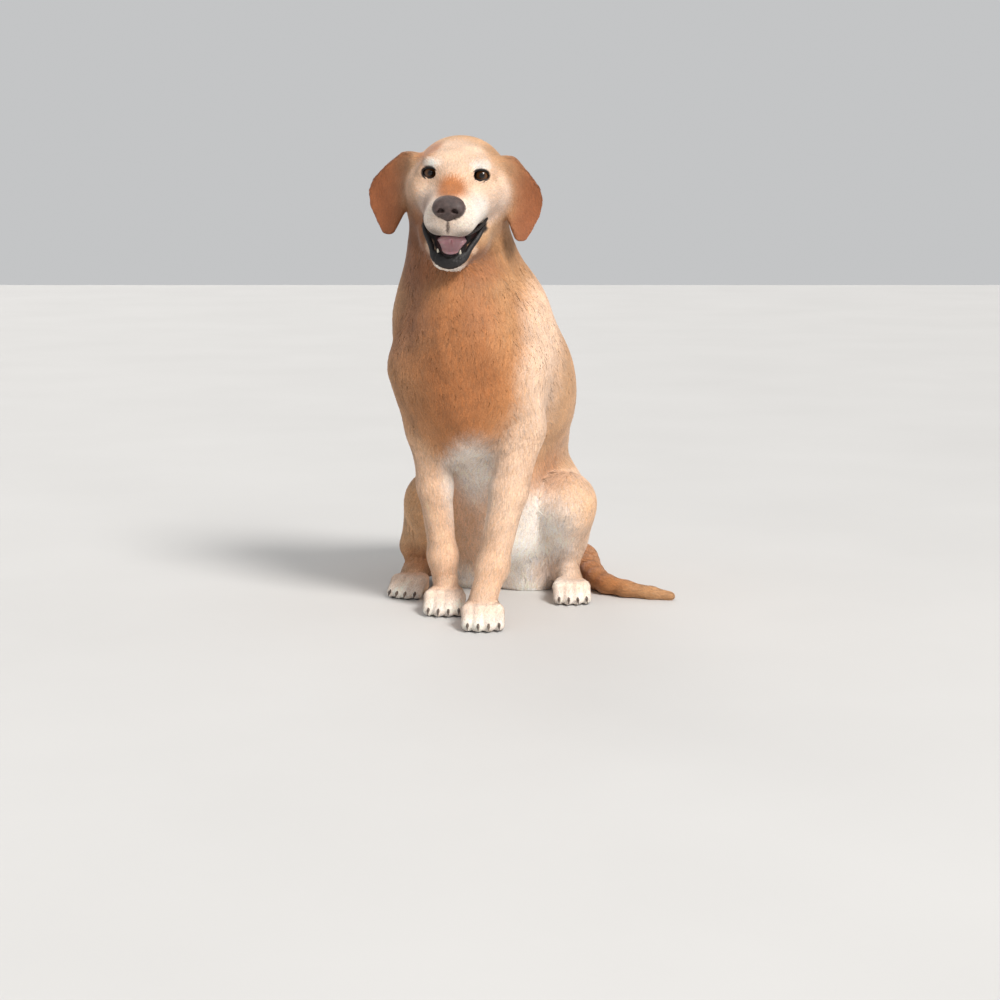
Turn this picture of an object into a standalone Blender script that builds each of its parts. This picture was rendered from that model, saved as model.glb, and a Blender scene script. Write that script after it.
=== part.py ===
"""Yellow Labrador retriever, sitting, life size: a still museum model.

+Z is up and the dog looks along -Y. Its own left side is at +X. All sizes are in metres.
The body is modelled whole from rounded masses (bones, muscles, pads) that melt into each other,
then it is parted with thin cuts into head, neck, trunk, tail and legs.
The surface is the outline of the short coat.
"""

import math

import bmesh
import bpy
import numpy as np
import openvdb
from mathutils import Euler, Matrix, Vector

# ---------------------------------------------------------------- driving dimensions
EYE_HEIGHT = 0.666
EYE_SPACING = 0.0740
EYE_UP, EYE_FORWARD = 0.0002, 0.0112  # of the eyes' centres, from the head's origin
EYE_LOOKS_UP = math.radians(-16)  # the eyes look level while the head is lowered
EYE_RADIUS = 0.0125
HEAD_PITCH, HEAD_ROLL, HEAD_YAW = math.radians(16), math.radians(2.8), math.radians(-4.5)
JAW_OPEN = math.radians(23)
BODY_YAW = math.radians(-8)  # the rump stands a little to the dog's left
BODY_SLOPE = math.radians(-43)  # the back falls from the withers to the rump
CUT = 0.0018  # width of the cuts that part the body
VOXEL = 0.0024  # size of the grid that the masses are melted on
BODY_TRIANGLES = 4250
KEPT_SHARE = 0.62  # of each node's triangles, once the cuts have left their slivers
CLAW_RADIUS = 0.0032
FAR = 1.0  # a distance that is well outside any mass

SIDES = {"right": -1, "left": 1}
COLOURS = {
    "coat": ((0.62, 0.36, 0.17), 0.85),
    "nose": ((0.045, 0.032, 0.030), 0.40),
    "eye": ((0.050, 0.020, 0.010), 0.08),
    "tongue": ((0.72, 0.28, 0.30), 0.45),
    "claw": ((0.090, 0.065, 0.050), 0.45),
}

# ---------------------------------------------------------------- landmarks
EYES = Vector((-0.0251, -0.155, EYE_HEIGHT))
HEAD_TURN = (
    Matrix.Rotation(HEAD_YAW, 3, "Z")
    @ Matrix.Rotation(HEAD_ROLL, 3, "Y")
    @ Matrix.Rotation(HEAD_PITCH, 3, "X")
)
JAW_HINGE = Vector((0, 0.05, -0.038))
JAW_TURN = Matrix.Rotation(math.radians(-1.5), 3, "Z") @ Matrix.Rotation(JAW_OPEN, 3, "X")
EYE_TURN = HEAD_TURN @ Matrix.Rotation(EYE_LOOKS_UP, 3, "X")

NECK_TOP = Vector((-0.027, -0.078, 0.605))
NECK_BASE = Vector((-0.015, -0.030, 0.470))
CHEST = Vector((-0.012, -0.088, 0.385))
RIBS = Vector((0.029, 0.045, 0.335))
LOIN = Vector((0.034, 0.150, 0.225))
RUMP = Vector((0.043, 0.220, 0.125))

ELBOW = {"right": Vector((-0.0715, -0.078, 0.285)), "left": Vector((0.070, -0.100, 0.285))}
WRIST = {"right": Vector((-0.0510, -0.066, 0.085)), "left": Vector((0.0262, -0.144, 0.085))}
FRONT_PAW = {"right": Vector((-0.0465, -0.082, 0)), "left": Vector((0.0110, -0.182, 0))}
KNEE = {"right": Vector((-0.070, 0.042, 0.150)), "left": Vector((0.145, 0.028, 0.150))}
HOCK = {"right": Vector((-0.074, 0.160, 0.040)), "left": Vector((0.130, 0.150, 0.040))}
HIND_PAW = {"right": Vector((-0.103, 0.040, 0)), "left": Vector((0.148, -0.002, 0))}
HIND_PAW_HEADING = {"right": math.radians(-22), "left": math.radians(4)}
FORELEG_THICKNESS = {"right": 1.0, "left": 1.08}
EAR_WIDTH = {"right": 1.0, "left": 0.88}
FRONT_PAW_HEADING = {"right": math.radians(-3), "left": math.radians(2)}

EAR_OUTLINE = (  # outward from the ear's inner edge, down from its root
    (0.000, 0.005),
    (0.011, 0.006),
    (0.032, 0.026),
    (0.048, 0.048),
    (0.0515, 0.063),
    (0.045, 0.081),
    (0.030, 0.099),
    (0.017, 0.1105),
    (0.012, 0.1105),
    (0.006, 0.085),
    (0.002, 0.050),
)

TAIL = (
    Vector((0.060, 0.287, 0.054)),
    Vector((0.125, 0.292, 0.026)),
    Vector((0.174, 0.235, 0.022)),
    Vector((0.184, 0.140, 0.019)),
    Vector((0.212, 0.040, 0.0155)),
    Vector((0.306, 0.001, 0.0055)),
)
TAIL_RADIUS_AT_ROOT, TAIL_RADIUS_AT_TIP = 0.031, 0.008
TAIL_STEPS = 14


# ---------------------------------------------------------------- masses
class Mass:
    """A rounded mass: a function from points to distances, its box, and how softly it joins."""

    def __init__(self, distance, low, high, blend):
        self.distance = distance
        self.low = np.array(low) - blend
        self.high = np.array(high) + blend
        self.blend = blend


def ellipsoid(centre, radii, blend=0.02, turn=None):
    """An ellipsoid, turned by a 3x3 matrix about its centre."""
    centre = np.array(centre)
    axes = np.array(turn or Matrix.Identity(3))
    radii = np.array(radii)

    def distance(points):
        local = (points - centre) @ axes
        inner = np.linalg.norm(local / radii, axis=1)
        slope = np.linalg.norm(local / radii**2, axis=1) + 1e-9
        return inner * (inner - 1) / slope

    reach = np.abs(axes) @ radii
    return Mass(distance, centre - reach, centre + reach, blend)


def bone(start, end, start_radius, end_radius, blend=0.02, flat=1.0, side=(1, 0, 0)):
    """A tapered rod with round ends. Its thickness along side is flat times the radius."""
    start, end = np.array(start), np.array(end)
    side = np.array(Vector(side).normalized())

    def widened(vectors):
        return vectors + np.outer(vectors @ side, side) * (1 / flat - 1)

    axis = widened((end - start)[None])[0]
    length_squared = max(axis @ axis, 1e-9)

    def distance(points):
        local = widened(points - start)
        along = np.clip(local @ axis / length_squared, 0, 1)
        radius = start_radius + (end_radius - start_radius) * along
        gap = np.linalg.norm(local - along[:, None] * axis, axis=1) - radius
        return gap * min(1.0, flat)

    reach = max(start_radius, end_radius) * max(1.0, flat)
    return Mass(distance, np.minimum(start, end) - reach, np.maximum(start, end) + reach, blend)


def ear_flap(base, along, across, outline, thickness, cup, blend=0.01):
    """A thin hanging flap: a rounded outline in the plane of along and across, cupped to the cheek."""
    base = np.array(base)
    along = np.array(Vector(along).normalized())
    across = np.array(Vector(across).normalized())
    across = across - along * (across @ along)
    across /= np.linalg.norm(across)
    outward = np.cross(across, along)
    corners = np.array(outline)
    rounding = 0.006

    def outline_distance(flat):
        nearest = np.full(len(flat), FAR)
        inside = np.zeros(len(flat), bool)
        for a, b in zip(corners, np.roll(corners, -1, axis=0)):
            edge, away = b - a, flat - a
            share = np.clip(away @ edge / (edge @ edge), 0, 1)
            nearest = np.minimum(nearest, np.linalg.norm(away - share[:, None] * edge, axis=1))
            crosses = (a[1] > flat[:, 1]) != (b[1] > flat[:, 1])
            rise = np.where(crosses, flat[:, 1] - a[1], 0) / (b[1] - a[1] + 1e-12)
            inside ^= crosses & (flat[:, 0] < a[0] + rise * edge[0])
        return np.where(inside, -nearest, nearest) - rounding

    def distance(points):
        local = points - base
        flat = np.stack([local @ across, local @ along], axis=1)
        bend = cup * (flat[:, 0] - 0.02) ** 2 + 0.8 * cup * np.maximum(flat[:, 1] - 0.05, 0) ** 2
        sheet = np.abs(local @ outward + bend) - thickness / 2
        edge = outline_distance(flat)
        return np.where(
            (sheet > 0) & (edge > 0),
            np.hypot(np.maximum(sheet, 0), np.maximum(edge, 0)),
            np.maximum(sheet, edge),
        ) - 0.0022

    reach = np.abs(corners).max() + rounding + thickness
    return Mass(distance, base - reach, base + reach, blend)


def soft_union(a, b, blend):
    overlap = np.maximum(blend - np.abs(a - b), 0)
    return np.minimum(a, b) - overlap**2 / (4 * max(blend, 1e-9))


def in_head(point):
    """From the head's own level frame, with its origin between the eyes, to the model's frame."""
    return HEAD_TURN @ Vector(point) + EYES


def in_jaw(point):
    """From the closed jaw's place in the head's frame to the open jaw's place in the model's frame."""
    return in_head(JAW_TURN @ (Vector(point) - JAW_HINGE) + JAW_HINGE)


def head_mass(centre, radii, blend=0.02):
    return ellipsoid(in_head(centre), radii, blend, HEAD_TURN)


def jaw_mass(centre, radii, blend=0.02):
    return ellipsoid(in_jaw(centre), radii, blend, HEAD_TURN @ JAW_TURN)


def head_bone(start, end, start_radius, end_radius, blend=0.02, flat=1.0):
    side = HEAD_TURN @ Vector((1, 0, 0))
    return bone(in_head(start), in_head(end), start_radius, end_radius, blend, flat, side)


def jaw_bone(start, end, start_radius, end_radius, blend=0.02):
    return bone(in_jaw(start), in_jaw(end), start_radius, end_radius, blend)


# ---------------------------------------------------------------- the dog's masses
def skull_masses():
    """Cranium, brows, cheeks, muzzle and upper lips."""
    masses = [
        head_mass((0, 0.050, -0.0125), (0.064, 0.078, 0.0500)),
        head_mass((0, 0.004, 0.002), (0.050, 0.044, 0.034)),
        head_bone((0, -0.012, -0.027), (0, -0.088, -0.033), 0.031, 0.0235, 0.022, 1.0),
        head_mass((0, -0.094, -0.036), (0.025, 0.014, 0.022), 0.012),
    ]
    for side in SIDES.values():
        masses += [
            head_mass((side * 0.030, -0.014, 0.0200), (0.018, 0.012, 0.010), 0.012),
            head_mass((side * 0.049, 0.012, -0.026), (0.022, 0.042, 0.024), 0.025),
            head_mass((side * 0.050, 0.050, -0.046), (0.026, 0.045, 0.040), 0.030),
            head_bone((side * 0.023, -0.018, -0.044), (side * 0.0165, -0.083, -0.046), 0.0245, 0.0205),
            head_mass((side * EYE_SPACING / 2, -0.010, EYE_UP + 0.004), (0.0175, 0.0140, 0.0130), 0.008),
        ]
    return masses


def jaw_masses():
    """Lower jaw with its lips, opened about its hinge."""
    masses = [
        jaw_mass((0, -0.077, -0.066), (0.0195, 0.015, 0.0125), 0.015),
        jaw_mass((0, 0.000, -0.072), (0.034, 0.065, 0.017), 0.025),
    ]
    for side in SIDES.values():
        masses += [
            jaw_bone((side * 0.044, 0.045, -0.055), (side * 0.030, -0.030, -0.062), 0.024, 0.0145),
            jaw_bone((side * 0.030, -0.030, -0.062), (side * 0.0125, -0.078, -0.064), 0.0145, 0.0095),
        ]
    return masses


def ear_masses():
    masses = {}
    for name, side in SIDES.items():
        base = in_head((side * 0.069 - 0.003, 0.038, 0.012))
        outline = [(EAR_WIDTH[name] * x, z) for x, z in EAR_OUTLINE]
        along = HEAD_TURN @ Vector((side * 0.09, -0.14, -1.00))
        across = HEAD_TURN @ Vector((side * 0.90, 0.42, 0))
        flap = ear_flap(base, along, across, outline, 0.0055, side * 5.0)
        root = head_bone((side * 0.060, 0.028, 0.005), (side * 0.073, 0.052, -0.002), 0.011, 0.013, 0.012)
        masses[name] = [flap, root]
    return masses


def neck_masses():
    return [
        bone(NECK_TOP, NECK_BASE, 0.070, 0.100, 0.04),
        bone((-0.031, -0.098, 0.545), (-0.014, -0.120, 0.440), 0.048, 0.072, 0.03),
        bone((0.000, -0.030, 0.530), (0.028, -0.010, 0.460), 0.040, 0.055, 0.04),
    ]


def trunk_masses():
    """Chest, shoulders, ribs, belly and rump."""
    turn = Matrix.Rotation(BODY_YAW, 3, "Z") @ Matrix.Rotation(BODY_SLOPE, 3, "X")
    masses = [
        ellipsoid(CHEST, (0.098, 0.100, 0.140), 0.04),
        ellipsoid(RIBS, (0.128, 0.190, 0.122), 0.04, turn),
        bone((-0.006, -0.045, 0.300), (0.030, 0.075, 0.165), 0.066, 0.088, 0.04),
        bone(LOIN, RUMP, 0.112, 0.116, 0.04),
        bone((0.040, 0.080, 0.120), (0.048, 0.150, 0.085), 0.082, 0.090, 0.04),
        ellipsoid((0.083, 0.105, 0.060), (0.062, 0.055, 0.085), 0.03),
        ellipsoid((-0.005, 0.120, 0.060), (0.062, 0.055, 0.075), 0.03),
    ]
    for name, side in SIDES.items():
        blade = Vector((CHEST.x + 0.009 + side * 0.068, -0.040, 0.415))
        masses.append(ellipsoid(blade, (0.052, 0.076, 0.098), 0.03))
    return masses


def foreleg_masses(name):
    side = SIDES[name]
    elbow, wrist = ELBOW[name], WRIST[name]
    shoulder = Vector((CHEST.x + side * 0.068, -0.098, 0.375))
    middle = elbow.lerp(wrist, 0.45)
    thick = FORELEG_THICKNESS[name]
    pastern = FRONT_PAW[name] + Vector((0, 0.014, 0.036))
    return [
        bone(shoulder, elbow, 0.050, 0.031, 0.03),
        bone(elbow, middle, 0.0305 * thick, 0.0255 * thick, 0.02),
        bone(middle, wrist, 0.0255 * thick, 0.0205 * thick, 0.015),
        ellipsoid(wrist, np.array((0.0215, 0.0225, 0.025)) * thick, 0.012),
        bone(wrist, pastern, 0.0195 * thick, 0.0200 * thick, 0.012),
    ]


def hindleg_masses(name):
    side = SIDES[name]
    knee, hock, paw = KNEE[name], HOCK[name], HIND_PAW[name]
    thigh = Vector((0.0400 + side * 0.0975, 0.140, 0.112))
    instep = paw + Vector((0, 0.025, 0.030))
    return [
        ellipsoid(thigh, (0.049, 0.115, 0.085), 0.03, Matrix.Rotation(math.radians(-12), 3, "X")),
        ellipsoid(knee, (0.034, 0.038, 0.046), 0.03),
        bone(knee, instep + Vector((0, 0.030, 0.040)), 0.030, 0.0235, 0.02),
        bone(knee, hock, 0.038, 0.025, 0.03),
        bone(hock, instep, 0.0225, 0.0200, 0.02),
    ]


def toe_points(paw, heading, size):
    """Root, knuckle and tip of each of a paw's four toes."""
    turn = Matrix.Rotation(heading, 3, "Z")
    for number in range(4):
        across = number - 1.5
        reach = 1.0 - 0.16 * across**2 * 0.45
        root = Vector((across * 0.0110, 0.008, 0.0270))
        knuckle = Vector((across * 0.0142, -0.018 * reach, 0.0265))
        tip = Vector((across * 0.0150, -0.0385 * reach, 0.0098))
        yield tuple(paw + turn @ (point * size) for point in (root, knuckle, tip))


def paw_masses(paw, heading, size):
    turn = Matrix.Rotation(heading, 3, "Z")
    palm = paw + turn @ Vector((0, 0.006, 0.016)) * size
    masses = [ellipsoid(palm, np.array((0.027, 0.026, 0.020)) * size, 0.012, turn)]
    for root, knuckle, tip in toe_points(paw, heading, size):
        masses.append(bone(root, knuckle, 0.0112 * size, 0.0106 * size, 0.004))
        masses.append(bone(knuckle, tip, 0.0106 * size, 0.0100 * size, 0.003))
    return masses


def tail_points():
    """Points along the tail's smooth curve, with the tail's radius at each."""
    points = []
    for number in range(TAIL_STEPS + 1):
        place = number / TAIL_STEPS * (len(TAIL) - 1)
        i = min(int(place), len(TAIL) - 2)
        t = place - i
        before, after = TAIL[max(i - 1, 0)], TAIL[min(i + 2, len(TAIL) - 1)]
        a, b = TAIL[i], TAIL[i + 1]
        point = 0.5 * (
            2 * a
            + (b - before) * t
            + (2 * before - 5 * a + 4 * b - after) * t**2
            + (3 * a - before - 3 * b + after) * t**3
        )
        share = number / TAIL_STEPS
        fade = share**1.6
        radius = TAIL_RADIUS_AT_ROOT + (TAIL_RADIUS_AT_TIP - TAIL_RADIUS_AT_ROOT) * fade
        points.append((point, radius))
    return points


def tail_masses():
    points = tail_points()
    return [bone(a, b, ra, rb, 0.008) for (a, ra), (b, rb) in zip(points, points[1:])]


def body_masses():
    masses = trunk_masses() + neck_masses() + skull_masses() + jaw_masses() + nose_masses()
    for pair in ear_masses().values():
        masses += pair
    for name in SIDES:
        masses += foreleg_masses(name) + hindleg_masses(name)
        masses += paw_masses(FRONT_PAW[name], FRONT_PAW_HEADING[name], 1.0)
        masses += paw_masses(HIND_PAW[name], HIND_PAW_HEADING[name], 0.93)
    return masses + tail_masses()


def hollow_masses():
    """What is carved out of the body: the mouth, the openings of the eyes and the nostrils."""
    masses = [
        head_mass((0, -0.048, -0.078), (0.022, 0.062, 0.020), 0.006),
        head_mass((0, -0.022, -0.0735), (0.0430, 0.024, 0.0065), 0.004),
        head_mass((0, -0.045, -0.0790), (0.0370, 0.030, 0.0105), 0.004),
        head_mass((0, -0.070, -0.0860), (0.0270, 0.030, 0.0170), 0.004),
        jaw_mass((0, -0.034, -0.047), (0.0250, 0.054, 0.0145), 0.006),
    ]
    for side in SIDES.values():
        centre = eye_centre(side) + EYE_TURN @ Vector((0, -0.0155, 0))
        masses.append(ellipsoid(centre, (0.0122, 0.0115, 0.0082), 0.002, EYE_TURN))
        masses.append(head_mass((side * 0.0095, -0.118, -0.023), (0.0045, 0.0060, 0.0038), 0.002))
    return masses


# ---------------------------------------------------------------- melting the masses into one mesh
def melt(masses, hollows, voxel):
    """One closed mesh round all the masses, as (points, triangles)."""
    low = np.min([m.low for m in masses], axis=0) - 3 * voxel
    high = np.max([m.high for m in masses], axis=0) + 3 * voxel
    counts = np.ceil((high - low) / voxel).astype(int)
    field = np.full(counts, FAR, np.float32)
    axes = [low[k] + voxel * np.arange(counts[k]) for k in range(3)]
    for masses_now, carve in ((masses, False), (hollows, True)):
        for mass in masses_now:
            first = [max(int(np.searchsorted(axes[k], mass.low[k])) - 3, 0) for k in range(3)]
            last = [int(np.searchsorted(axes[k], mass.high[k])) + 3 for k in range(3)]
            window = tuple(slice(a, b) for a, b in zip(first, last))
            grid = np.stack(np.meshgrid(*[axes[k][window[k]] for k in range(3)], indexing="ij"), -1)
            near = mass.distance(grid.reshape(-1, 3)).reshape(grid.shape[:3])
            if carve:
                field[window] = -soft_union(-field[window], near, mass.blend)
            else:
                field[window] = soft_union(field[window], near, mass.blend)
    grid = openvdb.FloatGrid(FAR)
    grid.copyFromArray(np.ascontiguousarray(field))
    points, _, quads = grid.convertToPolygons(0.0, 0.0)
    triangles = np.concatenate([quads[:, [0, 1, 2]], quads[:, [0, 2, 3]]])
    return points * voxel + low, triangles


def mesh_object(name, points, triangles):
    mesh = bpy.data.meshes.new(name)
    mesh.vertices.add(len(points))
    mesh.vertices.foreach_set("co", np.asarray(points, np.float32).ravel())
    mesh.loops.add(3 * len(triangles))
    mesh.loops.foreach_set("vertex_index", np.asarray(triangles, np.int32).ravel())
    mesh.polygons.add(len(triangles))
    mesh.polygons.foreach_set("loop_start", np.arange(0, 3 * len(triangles), 3, dtype=np.int32))
    mesh.update()
    mesh.validate()
    made = bpy.data.objects.new(name, mesh)
    bpy.context.scene.collection.objects.link(made)
    return made


def applied(obj):
    """The object with its modifiers made real."""
    graph = bpy.context.evaluated_depsgraph_get()
    mesh = bpy.data.meshes.new_from_object(obj.evaluated_get(graph))
    obj.modifiers.clear()
    obj.data = mesh
    return obj


def thinned(obj, triangles, detailed=None):
    """The object with fewer triangles, of which more are kept where detailed(point) is near 1."""
    decimate = obj.modifiers.new("thin", "DECIMATE")
    decimate.ratio = triangles / len(obj.data.polygons)
    if detailed:
        group = obj.vertex_groups.new(name="plain")
        for vertex in obj.data.vertices:
            group.add([vertex.index], 1 - detailed(vertex.co), "REPLACE")
        decimate.vertex_group = group.name
        decimate.vertex_group_factor = 1.5
    applied(obj)
    obj.vertex_groups.clear()
    return obj


def flattened(obj, height=0.0):
    """The object cut off level at a height, so that it rests on flats there."""
    mesh = bmesh.new()
    mesh.from_mesh(obj.data)
    every = mesh.verts[:] + mesh.edges[:] + mesh.faces[:]
    cut = bmesh.ops.bisect_plane(
        mesh, geom=every, dist=1e-6, plane_co=(0, 0, height), plane_no=(0, 0, 1), clear_inner=True
    )
    rim = [item for item in cut["geom_cut"] if isinstance(item, bmesh.types.BMEdge)]
    bmesh.ops.triangle_fill(mesh, edges=rim, use_beauty=True)
    bmesh.ops.triangulate(mesh, faces=mesh.faces)
    bmesh.ops.recalc_face_normals(mesh, faces=mesh.faces)
    mesh.to_mesh(obj.data)
    mesh.free()
    return obj


def combined(obj, other, operation):
    """A new object: obj and other joined, crossed or cut by an exact Boolean."""
    made = bpy.data.objects.new("made", obj.data.copy())
    bpy.context.scene.collection.objects.link(made)
    boolean = made.modifiers.new("combine", "BOOLEAN")
    boolean.solver = "EXACT"
    boolean.operation = operation
    boolean.object = other
    return applied(made)


def without_crumbs(obj):
    """Only the largest of the object's separate shells: the cuts leave crumbs beside it."""
    mesh = bmesh.new()
    mesh.from_mesh(obj.data)
    bmesh.ops.triangulate(mesh, faces=mesh.faces)
    bmesh.ops.dissolve_degenerate(mesh, dist=2e-6, edges=mesh.edges)
    bmesh.ops.triangulate(mesh, faces=mesh.faces)
    shells, seen = [], set()
    for face in mesh.faces:
        if face in seen:
            continue
        shell, queue = [], [face]
        seen.add(face)
        while queue:
            current = queue.pop()
            shell.append(current)
            for edge in current.edges:
                for beside in edge.link_faces:
                    if beside not in seen:
                        seen.add(beside)
                        queue.append(beside)
        shells.append(shell)
    shells.sort(key=len)
    for shell in shells[:-1]:
        bmesh.ops.delete(mesh, geom=shell, context="FACES")
    mesh.to_mesh(obj.data)
    mesh.free()
    return obj


def discard(*objects):
    for obj in objects:
        bpy.data.objects.remove(obj, do_unlink=True)


def box_region(low, high, frame=None):
    """A box between two corners of a frame (a 4x4 matrix)."""
    frame = frame or Matrix.Identity(4)
    mesh = bmesh.new()
    bmesh.ops.create_cube(mesh, size=1)
    for vertex in mesh.verts:
        place = Vector(low[k] + (vertex.co[k] + 0.5) * (high[k] - low[k]) for k in range(3))
        vertex.co = frame @ place
    made = bpy.data.objects.new("region", bpy.data.meshes.new("region"))
    mesh.to_mesh(made.data)
    mesh.free()
    bpy.context.scene.collection.objects.link(made)
    return made


def beyond(point, direction, reach=1.5):
    """All that lies beyond a plane through point, on the side that direction looks to."""
    turn = Vector(direction).normalized().to_track_quat("Z", "Y").to_matrix().to_4x4()
    return box_region((-reach, -reach, 0), (reach, reach, reach), Matrix.Translation(Vector(point)) @ turn)


def around(masses, clearance, triangles, voxel=0.004):
    """The space round some masses, out to a clearance."""
    wider = []
    for mass in masses:
        wider.append(Mass(
            lambda points, mass=mass: mass.distance(points) - clearance,
            mass.low - clearance,
            mass.high + clearance,
            mass.blend,
        ))
    return thinned(mesh_object("region", *melt(wider, [], voxel)), triangles)


def shrunk(obj, depth):
    """A copy of the object whose surface is drawn in by depth."""
    mesh = bmesh.new()
    mesh.from_mesh(obj.data)
    mesh.normal_update()
    steps = [(vertex, vertex.normal * depth * min(vertex.calc_shell_factor(), 3)) for vertex in mesh.verts]
    for vertex, step in steps:
        vertex.co -= step
    made = bpy.data.objects.new("shrunk", bpy.data.meshes.new("shrunk"))
    mesh.to_mesh(made.data)
    mesh.free()
    bpy.context.scene.collection.objects.link(made)
    return made


def part_off(whole, region):
    """Parts the whole along a region's surface, leaving a thin gap: (the piece inside, the rest)."""
    inner = shrunk(region, CUT)
    piece = combined(whole, inner, "INTERSECT")
    rest = combined(whole, region, "DIFFERENCE")
    discard(inner, region, whole)
    return without_crumbs(piece), without_crumbs(rest)


# ---------------------------------------------------------------- parting the body into nodes
def claw_tool(points, grow):
    """A short curved claw through three points, thinning to its tip."""
    mesh = bmesh.new()
    sides, radii = 6, (CLAW_RADIUS + grow, CLAW_RADIUS * 0.75 + grow, CLAW_RADIUS * 0.22 + grow)
    rings = []
    for point, radius in zip(points, radii):
        axis = (points[2] - points[0]).normalized()
        across = axis.cross(Vector((0, 0, 1))).normalized()
        upward = across.cross(axis)
        ring = []
        for step in range(sides):
            angle = 2 * math.pi * step / sides
            ring.append(mesh.verts.new(point + (across * math.cos(angle) + upward * math.sin(angle)) * radius))
        rings.append(ring)
    for ring, following in zip(rings, rings[1:]):
        for step in range(sides):
            beside = (step + 1) % sides
            mesh.faces.new((ring[step], ring[beside], following[beside], following[step]))
    mesh.faces.new(rings[0][::-1])
    mesh.faces.new(rings[-1])
    bmesh.ops.recalc_face_normals(mesh, faces=mesh.faces)
    bmesh.ops.triangulate(mesh, faces=mesh.faces)
    made = bpy.data.objects.new("claw", bpy.data.meshes.new("claw"))
    mesh.to_mesh(made.data)
    mesh.free()
    bpy.context.scene.collection.objects.link(made)
    return made


def claw_points(knuckle, tip, size):
    """Where a claw leaves its toe, where it bends, and where it ends above the floor."""
    forward = Vector((tip[0] - knuckle[0], tip[1] - knuckle[1], 0)).normalized()
    rise = Vector((0, 0, 1))
    tip = Vector(tip)
    return (
        tip + (forward * 0.0045 + rise * 0.0030) * size,
        tip + (forward * 0.0115 + rise * 0.0010) * size,
        tip + (forward * 0.0155 - rise * 0.0045) * size,
    )


def ball(centre, radius, subdivisions=2):
    mesh = bmesh.new()
    bmesh.ops.create_icosphere(mesh, subdivisions=subdivisions, radius=radius)
    bmesh.ops.translate(mesh, verts=mesh.verts, vec=Vector(centre))
    made = bpy.data.objects.new("ball", bpy.data.meshes.new("ball"))
    mesh.to_mesh(made.data)
    mesh.free()
    bpy.context.scene.collection.objects.link(made)
    return made


def eye_centre(side):
    return in_head((side * EYE_SPACING / 2, -EYE_FORWARD, EYE_UP))


def tongue_masses():
    across = HEAD_TURN @ Vector((1, 0, 0))
    places = ((0, 0.004, -0.0560), (0, -0.048, -0.0575), (0, -0.071, -0.0615))
    thick = (0.0062, 0.0058, 0.0048)
    return [
        bone(in_jaw(a), in_jaw(b), ra, rb, 0.006, 3.0, across)
        for a, b, ra, rb in zip(places, places[1:], thick, thick[1:])
    ]


def nose_masses(grow=0.0):
    return [head_mass((0, -0.1015, -0.0215), np.array((0.0225, 0.0175, 0.0175)) + grow, 0.004)]


def detail(point):
    """How much of the fine mesh to keep at a point: most at the head, then the feet."""
    if (point - EYES).length < 0.13 or point.z > 0.60:
        return 0.60
    if point.z < 0.060 and point.y < 0.07:
        return 0.45
    return 0.0


def carved(obj, tool, operation="DIFFERENCE"):
    made = combined(obj, tool, operation)
    discard(obj, tool)
    return without_crumbs(made)


def part_body(body):
    """The body's nodes by name."""
    nodes = {}
    nodes["nose"], body = part_off(body, around(nose_masses(0.0012), 0, 90, 0.002))
    for name, side in SIDES.items():
        nodes[f"eye_{name}"] = ball(eye_centre(side), EYE_RADIUS)
        body = carved(body, ball(eye_centre(side), EYE_RADIUS + 1.3 * CUT))
        nodes[f"ear_{name}"], body = part_off(body, around(ear_masses()[name][:1], 0.0025, 120))
    bed = around(tongue_masses(), 0.0008, 130, 0.002)
    nodes["tongue"] = shrunk(bed, 1.3 * CUT)
    body = carved(body, bed)

    jaw_frame = Matrix.Translation(EYES) @ HEAD_TURN.to_4x4() @ Matrix.Translation(JAW_HINGE)
    jaw_frame = jaw_frame @ JAW_TURN.to_4x4() @ Matrix.Translation(-JAW_HINGE)
    jaw = box_region((-0.09, -0.14, -0.097), (0.09, -0.010, -0.0410), jaw_frame)
    nodes["lower_jaw"], body = part_off(body, jaw)

    body, nodes["head"] = part_off(body, beyond((-0.028, -0.150, 0.523), (0, 0.756, -0.654)))

    nodes["tail"], body = part_off(body, around(tail_masses(), 0.0035, 180))
    points = [point for point, _ in tail_points()]
    for name, place in (("tail_base", 5), ("tail_middle", 10)):
        heading = points[place + 1] - points[place - 1]
        nodes["tail"], nodes[name] = part_off(nodes["tail"], beyond(points[place], heading, 0.3))
    nodes["tail_tip"] = nodes.pop("tail")

    for name in SIDES:
        lower = foreleg_masses(name)[1:]
        paw = paw_masses(FRONT_PAW[name], FRONT_PAW_HEADING[name], 1.0)
        leg, body = part_off(body, around(lower + paw, 0.006, 150))
        wrist = FRONT_PAW[name] + Vector((0, 0.014, 0.050))
        nodes[f"front_paw_{name}"], nodes[f"forearm_{name}"] = part_off(leg, beyond(wrist, (0, -0.3, -1)))

        thigh, knee, shin, calf, foot = hindleg_masses(name)
        paw = paw_masses(HIND_PAW[name], HIND_PAW_HEADING[name], 0.93)
        nodes[f"hind_paw_{name}"], body = part_off(body, around([foot] + paw, 0.007, 90))
        nodes[f"shank_{name}"], body = part_off(body, around([shin, calf], 0.010, 70))
        nodes[f"thigh_{name}"], body = part_off(body, around([thigh, knee], 0.014, 80))

    body, nodes["neck"] = part_off(body, beyond((-0.015, -0.030, 0.475), (0, 0.26, -0.966)))
    body, nodes["chest"] = part_off(body, beyond((0.032, 0.095, 0.280), (0.05, 0.62, -0.78)))
    nodes["rump"], nodes["abdomen"] = part_off(body, beyond((0.042, 0.185, 0.170), (0, 0.80, -0.60)))
    return nodes


def lightened(node):
    """The node without most of its slivers, with its soles exactly level."""
    if len(node.data.polygons) > 250:
        thinned(node, KEPT_SHARE * len(node.data.polygons))
    for vertex in node.data.vertices:
        if abs(vertex.co.z) < 0.0006:
            vertex.co.z = 0.0
    return without_crumbs(node)


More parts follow.
